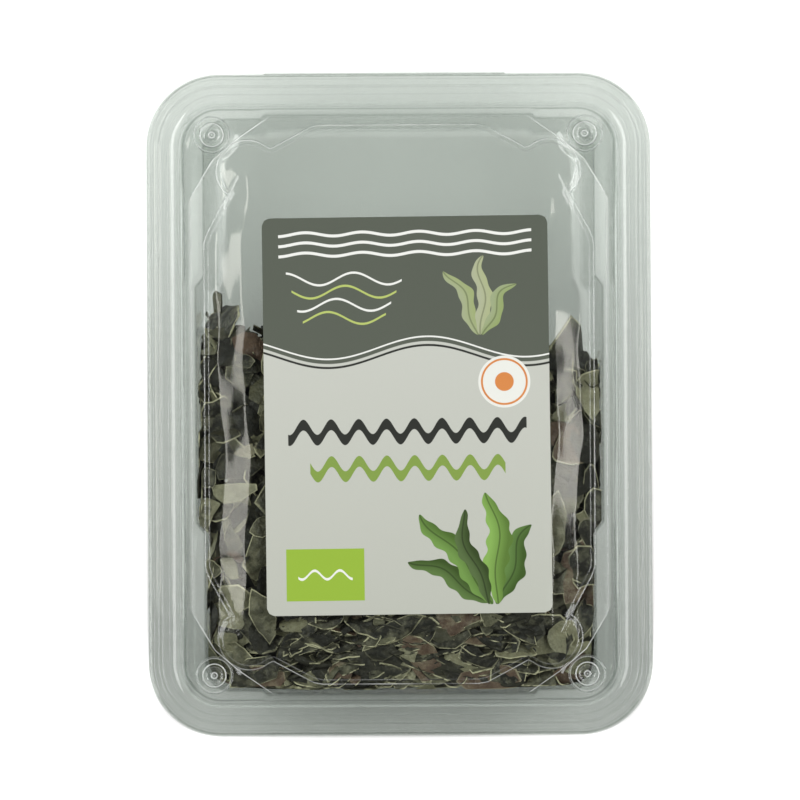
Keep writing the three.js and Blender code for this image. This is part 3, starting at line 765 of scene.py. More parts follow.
def panel_inset(x, y):
    """Distance in from the outline, for a place on the panel."""
    over_x = np.abs(x) - (PANEL_X - PANEL_RADIUS)
    over_y = np.abs(y) - (PANEL_Y - PANEL_RADIUS)
    outer = np.hypot(np.maximum(over_x, 0), np.maximum(over_y, 0))
    return PANEL_INSET + PANEL_RADIUS - outer - np.minimum(np.maximum(over_x, over_y), 0)


# Tray


def wall_recess(flat, step):
    """How far the tray's wall stands further in by the corners, along each ring's outward steps."""
    x, y = np.abs(flat).T
    side = smooth(y, SIDE_PANEL[0] - PANEL_STEP / 2, PANEL_STEP) * SIDE_PANEL[1]
    end = smooth(x, END_PANEL[0] - PANEL_STEP / 2, PANEL_STEP) * END_PANEL[1]
    nx, ny = np.abs(step).T
    return side * nx**2 + end * ny**2


def tray_profile():
    """The tray from its lip inwards: a straight edge and flange, a shoulder that falls as a power of its
    run, a straight wall and a quarter circle at the foot. Each place has its distance in from the outline,
    its height, its share of the wall's recess, and whether the sheet bends there."""
    profile = [(inset, FLANGE_Z + z, 0, 0) for inset, z in TRAY_EDGE]
    head = (TRAY_RIM + SHOULDER_DROP, FLANGE_Z - 2 * SHOULDER_ROUND)
    foot = (WALL_SIDE - SHOULDER_ROUND, SHOULDER_Z + SHOULDER_DROP)
    for t in (0.0, 0.15, 0.3, 0.45, 0.6, 0.75, 0.88, 1.0):
        inset = np.interp(t, (0, 1), (head[0], foot[0]))
        z = np.interp(t**SHOULDER_BEND, (0, 1), (head[1], foot[1]))
        profile.append((inset, z, 0.1 + 0.9 * t, t == 0))
    top, bottom = SHOULDER_Z - SHOULDER_ROUND, FOOT_Z + 2 * SHOULDER_ROUND
    for t in (0.0, 0.02, 0.1, 0.25, 0.4, 0.55, 0.7, 0.85, 0.98, 1.0):
        profile.append((WALL_SIDE + WALL_DRAFT * t, top + t * (bottom - top), 1, t == 0))
    for t in np.linspace(0, np.pi / 2, 7)[1:]:
        inset = WALL_SIDE + WALL_DRAFT + (WALL_FOOT + WALL_ROUND) * (1 - np.cos(t))
        profile.append((inset, FLOOR_Z + (bottom - FLOOR_Z) * (1 - np.sin(t)), 1, 0))
    return profile


def tray_points():
    """The tray's upper and inner face: a ring for each place of its profile, and its floor as a grid."""
    profile = tray_profile()
    rings = []
    bends = []
    for inset, z, share, bend in profile:
        in_end = inset + (WALL_END - WALL_SIDE) * share
        radius = CORNER_RADIUS - inset
        if inset > TRAY_RIM:
            radius = max(radius, TRAY_CORNER)
        flat, step = TRAY_GRID.at(HALF_X - inset, HALF_Y - in_end, radius, edge=True)
        flat = flat - step * (wall_recess(flat, step) * share)[:, None]
        rings.append(np.column_stack((flat, np.full(len(flat), z))))
        bends.append(np.full(len(flat), float(bend)))
    last = profile[-1][0] + FLOOR_INSET
    flat, step = TRAY_GRID.at(HALF_X - last, HALF_Y - last - WALL_END + WALL_SIDE, TRAY_CORNER)
    flat = flat - step * (wall_recess(flat, step) * np.linalg.norm(step, axis=1))[:, None]
    rings.append(np.column_stack((flat, np.full(len(flat), FLOOR_Z - FLOOR_SAG))))
    bends.append(np.zeros(len(flat)))
    points = np.concatenate(rings)
    points[:, 1] += MID_Y
    return points, len(profile), np.concatenate(bends)


def line_stops(lines):
    """Stops of a colour ramp over a distance: painted shade share, painted highlight share and height of fine
    steps.
    """
    marks = []
    for start, width, _, _, _ in lines:
        marks += [start - LINE_SPREAD, start, start + width, start + width + LINE_SPREAD]
    stops = []
    for mark in sorted(set(marks)):
        dark = light = height = 0.0
        for start, width, rise, dark_share, light_share in lines:
            end = start + width
            dark += dark_share * np.interp(mark, (start - LINE_SPREAD, start, end), (0, 1, 0))
            light += light_share * np.interp(mark, (start, end, end + LINE_SPREAD), (0, 1, 0))
            height += rise * np.clip((mark - start) / width, 0, 1)
        stops.append((mark, (dark, light, height)))
    return stops


def drawn_lines(paint, distance, stops):
    """Painted shade share, painted highlight share and height along a distance, by one ramp."""
    low, high = stops[0][0] - RAMP_MARGIN, stops[-1][0] + RAMP_MARGIN
    places = [((mark - low) / (high - low), values) for mark, values in stops]
    lines = paint.node("ShaderNodeValToRGB", {"stops": places}, {0: (distance - low) / (high - low)})
    split = paint.node("ShaderNodeSeparateColor", None, {0: paint.out(lines)})
    return [paint.out(split, i) for i in range(3)]


def clear_sheet(name, colours, drawn=None, tint=None, gloss=SHEET_GLOSS):
    """Clear thin sheet: passes what is behind it, darker where it is seen edge on, with a gloss that grows
    with the angle as Schlick's formula says. What is drawn on it is a share of painted shade that passes less
    light, a share of painted highlight that scatters it as a pale diffuse white, and a height in millimetres."""
    paint = Paint(name)
    dark, light, height = drawn(paint) if drawn else (0.0, None, None)
    normal = paint.bump(height, 1.0, MM) if height else None
    facing = paint.value("ShaderNodeLayerWeight", None, {"Blend": 0.5, "Normal": normal}, "Facing")
    tint = tint or tuple(colours.sheet)
    straight = paint.value("ShaderNodeBsdfTransparent", None, {"Color": (*tint, 1)})
    edge_on = paint.value("ShaderNodeBsdfTransparent", None, {"Color": (*colours.sheet_edge, 1)})
    roughness, straight_gloss = gloss
    shine_values = {"Color": (1, 1, 1, 1), "Roughness": roughness, "Normal": normal}
    shine = paint.value("ShaderNodeBsdfGlossy", None, shine_values)
    passed = paint.mix_shader((facing**EDGE_POWER) * EDGE_TINT + dark, straight, edge_on)
    shader = paint.mix_shader((facing**GLOSS_POWER) * GRAZING_GLOSS + straight_gloss, passed, shine)
    if light:
        # Painted highlight: a pale diffuse white mixed into the clear sheet
        pale = paint.value("ShaderNodeBsdfDiffuse", None, {"Color": (*HIGHLIGHT_WHITE, 1)})
        shader = paint.mix_shader(light, shader, pale)
    return paint.finish(shader)


def clear_material(colours):
    return clear_sheet("clear_plastic", colours)


def stud_lines(paint):
    """Rings of the stud, drawn as painted shade and painted highlight."""
    stops = [(reach, (dark, light, 0.0)) for reach, dark, light in STUD_LINES]
    dark, light, _ = drawn_lines(paint, paint.attribute("reach"), stops)
    return dark, light, None


def stud_material(colours):
    """The studs lie on the lid here, so they are tinted less."""
    return clear_sheet("clear_stud", colours, stud_lines, STUD_TINT, STUD_GLOSS)


def tray_lines(paint):
    """Painted shade: dark lines along the bends of the tray."""
    return paint.attribute("bend") * BEND_SHADE, None, None


def tray_material(colours):
    return clear_sheet("clear_tray", colours, tray_lines, gloss=TRAY_GLOSS)


def lid_lines(paint):
    """Fine steps along the rim and the lobed field and a ridge along each crease, drawn as lines of painted
    shade and painted highlight, the side band of painted shade, and a faint unevenness of height and of the
    highlights.
    """
    drawings = [
        drawn_lines(paint, paint.attribute(name), line_stops(lines))
        for name, lines in (("inset", RIM_LINES), ("field", FIELD_LINES), ("crease", CREASE_LINES))
    ]
    dark, light, height = (a + b + c for a, b, c in zip(*drawings))
    uneven = paint.noise(110.0, 1.0)
    light = light * (uneven.above(0.5, 0.3) * 0.7 + 0.3)
    return dark + paint.attribute("band"), light, height + uneven * UNEVEN_HEIGHT


def lid_material(colours):
    return clear_sheet("clear_lid", colours, lid_lines)


# Flakes


def wall_slope(z):
    """How far the tray's wall stands in at a height: by its draft, and by the rounding of its foot."""
    draft = WALL_DRAFT * np.clip((SHOULDER_Z - z) / (SHOULDER_Z - FOOT_Z), 0, 1)
    return draft + smooth(-z, -FOOT_TOP, FOOT_RISE) * WALL_FOOT


def wall_x(y, z):
    """Half-width of the room in the tray at a place and a height."""
    recess = SIDE_PANEL[1] * smooth(np.abs(y - MID_Y), SIDE_PANEL[0] - PANEL_STEP / 2, PANEL_STEP)
    return HALF_X - WALL_SIDE - recess - wall_slope(z)


def wall_y(z):
    """The same along the box, at its ends."""
    return HALF_Y - WALL_END - END_PANEL[1] - wall_slope(z)


def ceiling(x, y):
    """Height of the underside of the lid, with a margin."""
    crown = crown_share(x, y - MID_Y)
    corner = np.clip(-chain_distance(np.abs(x), np.abs(y - MID_Y), np.array(CREASE)), 0, None)
    return PANEL_Z + (CROWN_Z - PANEL_Z - CROWN_GAP) * crown - CREASE_SLOPE * corner - CEILING_GAP


def heap_y(x, z):
    """Where the heap's free face is."""
    return HEAP_Y + HEAP_TURN * x + HEAP_LEAN * (z - HEAP_MIDDLE_Z)


def flake_sheets(rng, count, low, high, curl):
    """Flakes in their own frames: a polygon cut by random straight breaks, cupped or curled, as rings round
    a middle point. The reach in a direction is the least of c / cos(angle - cut) over the breaks."""
    turn = np.arange(FLAKE_SIDES) / FLAKE_SIDES * 2 * np.pi
    swerve, fray = FLAKE_UNEVEN
    angle = turn + rng.uniform(-swerve, swerve, (count, FLAKE_SIDES))
    cuts = rng.uniform(0, 2 * np.pi, (count, FLAKE_CUTS, 1))
    depth = rng.uniform(*CUT_DEPTH, (count, FLAKE_CUTS, 1))
    cosine = np.cos(angle[:, None] - cuts)
    reach = np.where(cosine > 0.2, depth / np.maximum(cosine, 0.2), 9.0).min(1)
    reach = np.minimum(reach, FLAKE_REACH) * (1 + rng.uniform(-fray, fray, angle.shape))
    size = low + (high - low) * rng.random((count, 1)) ** 1.5
    narrow = rng.uniform(*FLAKE_NARROW, (count, 1))
    share = np.array((0.0,) + FLAKE_RINGS)
    x = share[1:, None] * (reach * np.cos(angle) * size)[:, None]
    y = share[1:, None] * (reach * np.sin(angle) * size * narrow)[:, None]
    x = np.concatenate((np.zeros((count, 1)), x.reshape(count, -1)), 1)
    y = np.concatenate((np.zeros((count, 1)), y.reshape(count, -1)), 1)
    bend = rng.uniform(0, np.pi, (count, 1))
    across = x * np.cos(bend) + y * np.sin(bend)
    along = y * np.cos(bend) - x * np.sin(bend)
    bow = rng.uniform(-1, 1, (count, 1)) * curl / size
    twist = rng.uniform(-0.5, 0.5, (count, 1)) * curl / size
    wave = np.sin(across * rng.uniform(0.5, 1.1, (count, 1)) + rng.uniform(0, 6, (count, 1)))
    z = bow * across**2 * 0.5 + twist * across * along * 0.4 + FLAKE_WAVE * wave
    rim = np.concatenate(([0.0], np.repeat(FLAKE_RINGS, FLAKE_SIDES)))
    return np.stack((x, y, z), -1), np.broadcast_to(rim, x.shape)


def turned(rng, normals, tilt):
    """Rotation matrices that face flakes along their normals, tilted at random by up to tilt and spun."""
    count = len(normals)
    lean = rng.normal(0, 1, (count, 3))
    lean -= (lean * normals).sum(1, keepdims=True) * normals
    lean /= np.linalg.norm(lean, axis=1, keepdims=True)
    angle = tilt * np.sqrt(rng.random((count, 1)))
    up = normals * np.cos(angle) + lean * np.sin(angle)
    across = rng.normal(0, 1, (count, 3))
    across -= (across * up).sum(1, keepdims=True) * up
    across /= np.linalg.norm(across, axis=1, keepdims=True)
    return np.stack((across, np.cross(up, across), up), -1)


def pressed(points, clear):
    """Keeps points inside the room: under the lid, off the floor and off the walls, by a margin a flake."""
    x, y, z = points[..., 0], points[..., 1], points[..., 2]
    z = np.clip(z, FLOOR_GAP + clear, None)
    side = wall_x(y, z) - WALL_GAP - clear
    x = np.clip(x, -side, side)
    end = wall_y(z) - WALL_GAP - clear
    y = np.clip(y, -end + MID_Y, end + MID_Y)
    core_x, core_y = side - HEAP_CORNER, end - HEAP_CORNER
    corner_x, corner_y = np.abs(x) - core_x, np.abs(y - MID_Y) - core_y
    reach = np.maximum(np.hypot(np.maximum(corner_x, 0), np.maximum(corner_y, 0)), HEAP_CORNER)
    pull = np.where((corner_x > 0) & (corner_y > 0), HEAP_CORNER / reach, 1.0)
    x = np.where(pull < 1, np.sign(x) * (core_x + corner_x * pull), x)
    y = np.where(pull < 1, MID_Y + np.sign(y - MID_Y) * (core_y + corner_y * pull), y)
    z = np.minimum(z, ceiling(x, y) - clear)
    return np.stack((x, y, z), -1)


def flake_faces(count, per):
    """Faces of closed sheets of per points a side: fans round the middle and quads between the rings on
    both sides, and a band of quads round the rim, which comes last."""
    ring = 1 + np.arange(len(FLAKE_RINGS) * FLAKE_SIDES).reshape(-1, FLAKE_SIDES)
    after = np.roll(ring, -1, 1)
    fans = np.stack((np.zeros_like(ring[0]), ring[0], after[0]), -1)
    quads = np.stack((ring[:-1], ring[1:], after[1:], after[:-1]), -1).reshape(-1, 4)
    edge = np.stack((ring[-1], ring[-1] + per, after[-1] + per, after[-1]), -1)
    base = (np.arange(count) * 2 * per)[:, None, None]
    triangles = np.concatenate((fans, fans[:, ::-1] + per))[None] + base
    sides = np.concatenate((quads, quads[:, ::-1] + per))[None] + base
    return [triangles.reshape(-1, 3), sides.reshape(-1, 4), (edge[None] + base).reshape(-1, 4)]


def flake_object(name, rng, middles, normals, tilt, size, curl, kinds=(0, 1)):
    """One piece of many flakes: each is a closed thin sheet with a pale rim. The tilt is in radians."""
    thickness = bpy.context.scene.kombu_sizes.flake / MM
    count = len(middles)
    sheets, rim = flake_sheets(rng, count, *size, curl)
    turns = turned(rng, normals / np.linalg.norm(normals, axis=1, keepdims=True), tilt)
    clear = rng.uniform(*FLAKE_SPACE, (count, 1))
    points = np.einsum("nij,nkj->nki", turns, sheets) + middles[:, None]
    points = pressed(points, clear)
    out = turns[:, :, 2][:, None] * thickness / 2
    per = sheets.shape[1]
    faces = flake_faces(count, per)
    both = np.stack((points + out, points - out), 1)
    made = make_object(name, both, faces, shared("kombu_flake", kombu_material), TRAY_BODY)
    made.data.materials.append(shared("kombu_rim", kombu_rim_material))
    slots = np.zeros(len(made.data.polygons), dtype=np.int32)
    slots[-len(faces[2]):] = 1
    made.data.polygons.foreach_set("material_index", slots)
    for attribute, value in (
        ("tone", rng.random((count, 1, 1))),
        ("kind", rng.uniform(*kinds, (count, 1, 1))),
        ("rim", rim[:, None]),
    ):
        add_attribute(made, attribute, np.broadcast_to(value, (count, 2, per)))
    made.data.set_sharp_from_angle(angle=0.9)
    return made


def kombu_material(colours):
    """Dried kelp: dark to olive, some pale and some brown, a colour a flake, clouded by a pale bloom, with
    a broken pale line along the rim and a fine grain."""
    paint = Paint("kombu_flake")
    tone, kind, rim = (paint.attribute(name) for name in ("tone", "kind", "rim"))
    cloud = paint.noise(CLOUD_SCALE, 3.0, 0.65)
    grain = paint.noise(GRAIN_SCALE, 1.0, 0.7)
    patches = paint.noise(PATCH_SCALE, 1.0)
    olive = kind.above(KIND_OLIVE, 0.5) ** 1.5
    body = paint.mix(olive, tuple(colours.kombu_dark), tuple(colours.kombu_olive))
    body = paint.mix(kind.above(KIND_PALE, 0.02) * 0.35, body, tuple(colours.kombu_bloom))
    body = paint.mix(kind.above(KIND_BROWN, 0.02), body, tuple(colours.kombu_brown))
    shade = (cloud.above(0.5, 0.3) * 0.5 + grain.above(0.5, 0.4) * 0.35).clamped()
    body = paint.mix(shade * 0.8, body, paint.mix(0.72, body, BLACK_BROWN))
    bloom = (cloud.below(0.42, 0.25) * tone * 0.5).clamped()
    body = paint.mix(bloom, body, tuple(colours.kombu_bloom))
    line = (rim + grain * 0.06).above(0.98, 0.045) * patches.above(0.48, 0.2) * tone.above(0.4, 0.3)
    body = paint.mix(line * 0.9, body, tuple(colours.kombu_edge))
    values = {
        "Base Color": body,
        "Roughness": 0.36 + cloud * 0.3,
        "Specular IOR Level": 0.55,
        "Normal": paint.bump(cloud, 1.0, 0.0012),
    }
    return paint.finish(paint.value("ShaderNodeBsdfPrincipled", None, values))


def kombu_rim_material(colours):
    """The broken edge: pale yellow-green with darker stretches."""
    paint = Paint("kombu_rim")
    cloud = paint.noise(420.0, 2.0)
    tone = paint.attribute("tone")
    dark = (cloud.below(0.48, 0.2) + tone.below(0.4, 0.3)).clamped()
    body = paint.mix(dark, tuple(colours.kombu_edge), tuple(colours.kombu_dark))
    shader = paint.value("ShaderNodeBsdfPrincipled", None, {"Base Color": body, "Roughness": 0.7})
    return paint.finish(shader)


def core_material(colours):
    """The inside of the heap, near black: painted shade for the depths between the flakes."""
    paint = Paint("kombu_shaded_core")
    cloud = paint.noise(260.0, 3.0)
    body = paint.mix(cloud, CORE_SHADE, tuple(colours.kombu_dark))
    values = {"Base Color": body, "Roughness": 0.9, "Normal": paint.bump(cloud, 1.0, 0.002)}
    return paint.finish(paint.value("ShaderNodeBsdfPrincipled", None, values))


def make_core(material):
    """The heap's inside, dark as painted shade: a box rounded by a power of its direction, (|x|^p + |y|^p +
    |z|^p)^(-1/p), with lumps that are products of sines, well under the flakes."""
    rows, columns, power = 40, 72, 7.0
    polar, turn = np.meshgrid(
        np.linspace(0, np.pi, rows)[1:-1], np.arange(columns) / columns * 2 * np.pi, indexing="ij"
    )
    direction = np.stack((np.sin(polar) * np.cos(turn), np.sin(polar) * np.sin(turn), np.cos(polar)), -1)
    direction = np.concatenate((direction.reshape(-1, 3), [(0, 0, 1), (0, 0, -1)]))
    reach = (np.abs(direction) ** power).sum(1) ** (-1 / power)
    low_y = -wall_y(CORE_Z) + MID_Y + CORE_INSET
    half = np.array((wall_x(60.0, CORE_Z) - CORE_INSET, (HEAP_Y - CORE_INSET - low_y) / 2, CORE_HALF_Z))
    middle = np.array((0.0, low_y + half[1], CORE_MIDDLE_Z))
    points = direction * reach[:, None] * half + middle
    x, y, _ = points.T
    lumps = 1.1 * np.sin(x * 0.45) * np.sin(y * 0.4 + 1) + 0.6 * np.sin(points.sum(1) * 0.7)
    points += direction * lumps[:, None]
    points[:, 1] += HEAP_TURN * points[:, 0] * smooth(points[:, 1], middle[1], half[1])
    ring = np.arange((rows - 2) * columns).reshape(rows - 2, columns)
    after = np.roll(ring, -1, 1)
    quads = np.stack((ring[:-1], ring[1:], after[1:], after[:-1]), -1).reshape(-1, 4)
    top, bottom = np.full(columns, ring.size), np.full(columns, ring.size + 1)
    caps = np.vstack((np.stack((top, ring[0], after[0]), -1), np.stack((ring[-1], bottom, after[-1]), -1)))
    return make_object("kombu_shaded_core", points, [quads, caps], material, TRAY_BODY)


# Label


def wave_line(u, v, height, wave, phase=0.0):
    """1 on a line that follows rise * sin(count * u + phase) at a height, 0 off it."""
    count, rise, half = wave
    return (v - height - (u * count + phase).sine() * rise).size().below(half)


def paint_header(paint, u, v, body, colours):
    """The dark header: its waved lower edge with a line on both sides, and three waved lines at its top."""
    count, phase, rise = HEADER_SWELL
    over = v - ((u * count + phase).sine() * rise + HEADER_EDGE)
    distance, half = LINE_UNDER
    body = paint.mix((over + distance).size().below(half), body, INK)
    body = paint.mix(over.above(0.0), body, tuple(colours.label_dark))
    distance, half = LINE_OVER
    body = paint.mix((over - distance).size().below(half), body, WHITE)
    for height in HEADER_LINES:
        line = wave_line(u, v, height, HEADER_WAVE) * u.size().below(HEADER_LINE_HALF)
        body = paint.mix(line, body, WHITE)
    return body


def paint_signs(paint, u, v, body, colours):
    """Four crests that grow shorter, a disc with a ring and a dot, and a green block with a crest."""
    for i, (height, colour) in enumerate(CRESTS):
        crest = wave_line(u, v, height, CREST_WAVE, CREST_PHASE * i)
        half = CREST_HALF - CREST_SHRINK * i
        body = paint.mix(crest * (u - CREST_X).size().below(half), body, colour)
    disc = (((u - DISC[0]) ** 2.0) + ((v - DISC[1]) ** 2.0)) ** 0.5
    edge, ring, dot = DISC_RADII
    body = paint.mix(disc.below(edge), body, DISC_WHITE)
    body = paint.mix((disc - ring).size().below(DISC_LINE), body, ORANGE)
    body = paint.mix(disc.below(dot), body, ORANGE)
    across = (u - BLOCK[0]).size()
    block = across.below(BLOCK_HALF[0]) * (v - BLOCK[1]).size().below(BLOCK_HALF[1])
    body = paint.mix(block, body, tuple(colours.label_green))
    crest = wave_line(u, v, BLOCK[1], BLOCK_WAVE) * across.below(BLOCK_CREST_HALF)
    return paint.mix(crest, body, WHITE)


def paint_blade(paint, u, v, body, blade):
    """A kelp blade: its width swells along it as a power of a sine, with a ruffle, round a waved midrib."""
    x0, y0, angle, length, width, phase, shade, in_header = blade
    c, s = np.cos(np.radians(angle)), np.sin(np.radians(angle))
    along = (u - x0) * c + (v - y0) * s
    across = (v - y0) * c - (u - x0) * s
    share = (along / length).clamped()
    radians, sway = BLADE_SWAY
    across = across - (along * (radians / length) + phase).sine() * share * sway
    swell = (share * np.pi).sine() ** BLADE_SWELL
    count, depth = BLADE_RUFFLE
    ruffle = (along * count + phase).sine() * depth + 1.0
    gap = across.size()
    shape = gap.below(swell * ruffle * width) * along.above(0.0) * along.below(length)
    gain, lift = HEADER_LIGHT if in_header else PICTURE_LIGHT
    light = tuple(gain * part + lift for part in shade)
    leaf = paint.mix(across.above(0.0, width * 1.4), shade, light)
    rib = tuple(MIDRIB_SHADE * part for part in shade)
    leaf = paint.mix(gap.below(MIDRIB_HALF) * MIDRIB_SHARE, leaf, rib)
    return paint.mix(shape, body, leaf)


def label_material(colours):
    """A plain printed label: dark header with a waved edge, two waved bands, a few signs and kelp blades."""
    paint = Paint("label_print")
    middle = (LABEL_LOW + LABEL_HIGH) / 2 * MM
    values = {
        "Vector": paint.place(),
        "Location": (middle[0], middle[1], 0.0),
        "Rotation": (0.0, 0.0, np.radians(LABEL_TURN)),
        "Scale": (MM, MM, MM),
    }
    mapping = paint.node("ShaderNodeMapping", {"vector_type": "TEXTURE"}, values)
    split = paint.node("ShaderNodeSeparateXYZ", None, {0: paint.out(mapping)})
    u, v = paint.out(split, "X"), paint.out(split, "Y")
    rise = (v / (2 * label_half()[1]) + 0.5).clamped()
    body = paint.mix(rise * 0.35, tuple(colours.label_pale), PAPER_GREY)
    for level, half, colour in BANDS:
        body = paint.mix(wave_line(u, v, level, BAND_WAVE) * u.size().below(half), body, colour)
    body = paint_header(paint, u, v, body, colours)
    body = paint_signs(paint, u, v, body, colours)
    for blade in KELP_BLADES:
        body = paint_blade(paint, u, v, body, blade)
    paper = paint.noise(900.0, 2.0)
    values = {
        "Base Color": body,
        "Roughness": 0.34 + paper * 0.06,
        "Specular IOR Level": 0.4,
        "Normal": paint.bump(paper, 0.08, 0.0002),
    }
    return paint.finish(paint.value("ShaderNodeBsdfPrincipled", None, values))


def label_back_material(colours):
    """The bare back of the label, which shows through the lid when the box is open."""
    paint = Paint("label_back")
    body = paint.mix(paint.noise(500.0, 2.0), BACK_GREY, tuple(colours.label_pale))
    shader = paint.value("ShaderNodeBsdfPrincipled", None, {"Base Color": body, "Roughness": 0.8})
    return paint.finish(shader)


def label_half():
    """Half the label's own sides, from the box round it when turned."""
    c, s = np.cos(np.radians(LABEL_TURN)), np.sin(np.radians(LABEL_TURN))
    across, along = (LABEL_HIGH - LABEL_LOW)[:2] / 2 + LABEL_RADIUS * (c + s - 1)
    return (across * c - along * s) / (c * c - s * s), (along * c - across * s) / (c * c - s * s)


def label_points():
    """The label's face: a grid in its rounded rectangle, its corner cells laid onto quarter discs, turned."""
    half_x, half_y = label_half()
    u, v = np.meshgrid(np.linspace(-1, 1, LABEL_COLUMNS), np.linspace(-1, 1, LABEL_ROWS))
    x, y = u * half_x, v * half_y
    core_x = np.clip(x, LABEL_RADIUS - half_x, half_x - LABEL_RADIUS)
    core_y = np.clip(y, LABEL_RADIUS - half_y, half_y - LABEL_RADIUS)
    a, b = (x - core_x) / LABEL_RADIUS, (y - core_y) / LABEL_RADIUS
    x = core_x + LABEL_RADIUS * a * np.sqrt(1 - b * b / 2)
    y = core_y + LABEL_RADIUS * b * np.sqrt(1 - a * a / 2)
    c, s = np.cos(np.radians(LABEL_TURN)), np.sin(np.radians(LABEL_TURN))
    middle = (LABEL_LOW + LABEL_HIGH) / 2
    return x * c - y * s + middle[0], x * s + y * c + middle[1]


def scatter(rng, count, low, high):
    """Places spread evenly over a rectangle, by a lattice of the plastic number, in a random order."""
    g = 1.32471795724
    i = np.arange(count) + rng.random()
    share = np.stack((i / g, i / g**2), -1) % 1.0
    return rng.permutation(np.array(low) + share * (np.array(high) - np.array(low)))


class KOMBU_OT_tray(bpy.types.Operator):
    """The tray: a clear sheet with a turned-down lip, flange, shoulder, drafted walls and floor"""

    bl_idname = "kombu.tray"
    bl_label = "Tray"

    def execute(self, context):
        points, rings, bends = tray_points()
        clear = shared("clear_tray", tray_material)
        tray = make_object("tray_sheet", points, TRAY_GRID.faces(rings), clear, TRAY_BODY)
        add_attribute(tray, "bend", bends)
        solidify(tray, context.scene.kombu_sizes.sheet)
        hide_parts("tray")
        return {"FINISHED"}


class KOMBU_OT_lid(bpy.types.Operator):
    """The lid: a clear sheet with stepped edge, lobed panel and corner creases"""

    bl_idname = "kombu.lid"
    bl_label = "Lid"

    def execute(self, context):
        sizes = context.scene.kombu_sizes
        points, rings, values = lid_points(sizes.ripple / MM)
        clear = shared("clear_lid", lid_material)
        lid = make_object("lid_sheet", points, LID_GRID.faces(rings), clear, LID_BODY)
        for name, value in values.items():
            add_attribute(lid, name, value)
        # The sheet's underside is plain: the fine relief is drawn once.
        lid.data.materials.append(shared("clear_plastic", clear_material))
        solidify(lid, sizes.sheet).material_offset = 1
        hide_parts("lid")
        return {"FINISHED"}


def stud_shape():
    """A stud round the origin: its profile turned round +Z and closed at the tip, and each point's radius."""
    radius, height = np.array(STUD_PROFILE).T
    turn = np.arange(STUD_SIDES) / STUD_SIDES * 2 * np.pi
    x, y = np.outer(radius, np.cos(turn)), np.outer(radius, np.sin(turn))
    points = np.stack((x, y, np.broadcast_to(height[:, None], x.shape)), -1).reshape(-1, 3)
    ring = np.arange(x.size).reshape(x.shape)
    after = np.roll(ring, -1, 1)
    quads = np.stack((after[:-1], after[1:], ring[1:], ring[:-1]), -1).reshape(-1, 4)
    cap = np.stack((after[-1], np.full(STUD_SIDES, ring.size), ring[-1]), -1)
    points = np.vstack((points, (0.0, 0.0, height[-1])))
    return points, [quads, cap], np.append(np.repeat(radius, STUD_SIDES), 0.0)


class KOMBU_OT_studs(bpy.types.Operator):
    """The four snap studs in the lid's corners: turned shapes with rings"""

    bl_idname = "kombu.studs"
    bl_label = "Studs"

    def execute(self, context):
        sizes = context.scene.kombu_sizes
        shape, faces, radius = stud_shape()
        middles = np.array(((1, 1), (-1, 1), (-1, -1), (1, -1))) * (STUD_X, STUD_Y)
        height = PANEL_Z + STUD_FOOT + STUD_LIFT + ripple(*middles.T, sizes.ripple / MM)
        clear = shared("clear_stud", stud_material)
        for i, (x, y) in enumerate(middles):
            points = shape + (x, y + MID_Y, height[i])
            stud = make_object(f"lid_stud_{i + 1}", points, faces, clear, LID_BODY)
            add_attribute(stud, "reach", radius)
            solidify(stud, sizes.sheet)
        return {"FINISHED"}


class KOMBU_OT_hinge(bpy.types.Operator):
    """The bead of plastic along the hinge line"""

    bl_idname = "kombu.hinge"
    bl_label = "Hinge bead"

    def execute(self, context):
        _, joint_y, joint_z = (part / MM for part in frame["joints"][0]["pos_m"])
        radius = (TRAY_BACK - joint_y) * BEAD_SHARE
        end = np.linspace(BEAD_END, 1, 6)
        along = np.concatenate((-end[::-1], np.linspace(-BEAD_STRAIGHT, BEAD_STRAIGHT, 9), end))
        beyond = ((np.abs(along) - BEAD_END) / (1 - BEAD_END)).clip(0)
        swell = radius * np.sqrt(np.clip(1 - beyond**2, BEAD_TIP, 1))
        turn = np.arange(BEAD_SIDES) / BEAD_SIDES * 2 * np.pi
        x = np.repeat(along * BEAD_HALF + BEAD_X, BEAD_SIDES)
        y = joint_y + np.outer(swell, np.cos(turn)).ravel()
        z = joint_z + np.outer(swell, np.sin(turn)).ravel()
        ring = np.arange(len(x)).reshape(-1, BEAD_SIDES)
        after = np.roll(ring, -1, 1)
        quads = np.stack((ring[1:], after[1:], after[:-1], ring[:-1]), -1).reshape(-1, 4)
        caps = np.stack((ring[0], ring[-1][::-1]))
        clear = shared("clear_plastic", clear_material)
        bead = make_object("hinge_bead", np.stack((x, y, z), -1), [quads, caps], clear, TRAY_BODY)
        return {"FINISHED"}


class KOMBU_OT_label(bpy.types.Operator):
    """The printed label on the lid"""

    bl_idname = "kombu.label"
    bl_label = "Label"

    def execute(self, context):
        sizes, colours = context.scene.kombu_sizes, context.scene.kombu_colours
        x, y = label_points()
        lid_z = PANEL_Z + lid_relief(x, y - MID_Y) + ripple(x, y - MID_Y, sizes.ripple / MM)
        points = np.stack((x, y, lid_z + LABEL_LIFT + sizes.paper / MM), -1)
        index = np.arange(x.size).reshape(x.shape)
        quads = np.stack((index[:-1, :-1], index[:-1, 1:], index[1:, 1:], index[1:, :-1]), -1)
        printed = label_material(colours)
        label = make_object("label_paper", points, [quads.reshape(-1, 4)], printed, LID_BODY, shade=False)
        label.data.materials.append(label_back_material(colours))
        solidify(label, sizes.paper).material_offset = 1
        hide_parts("label")
        return {"FINISHED"}


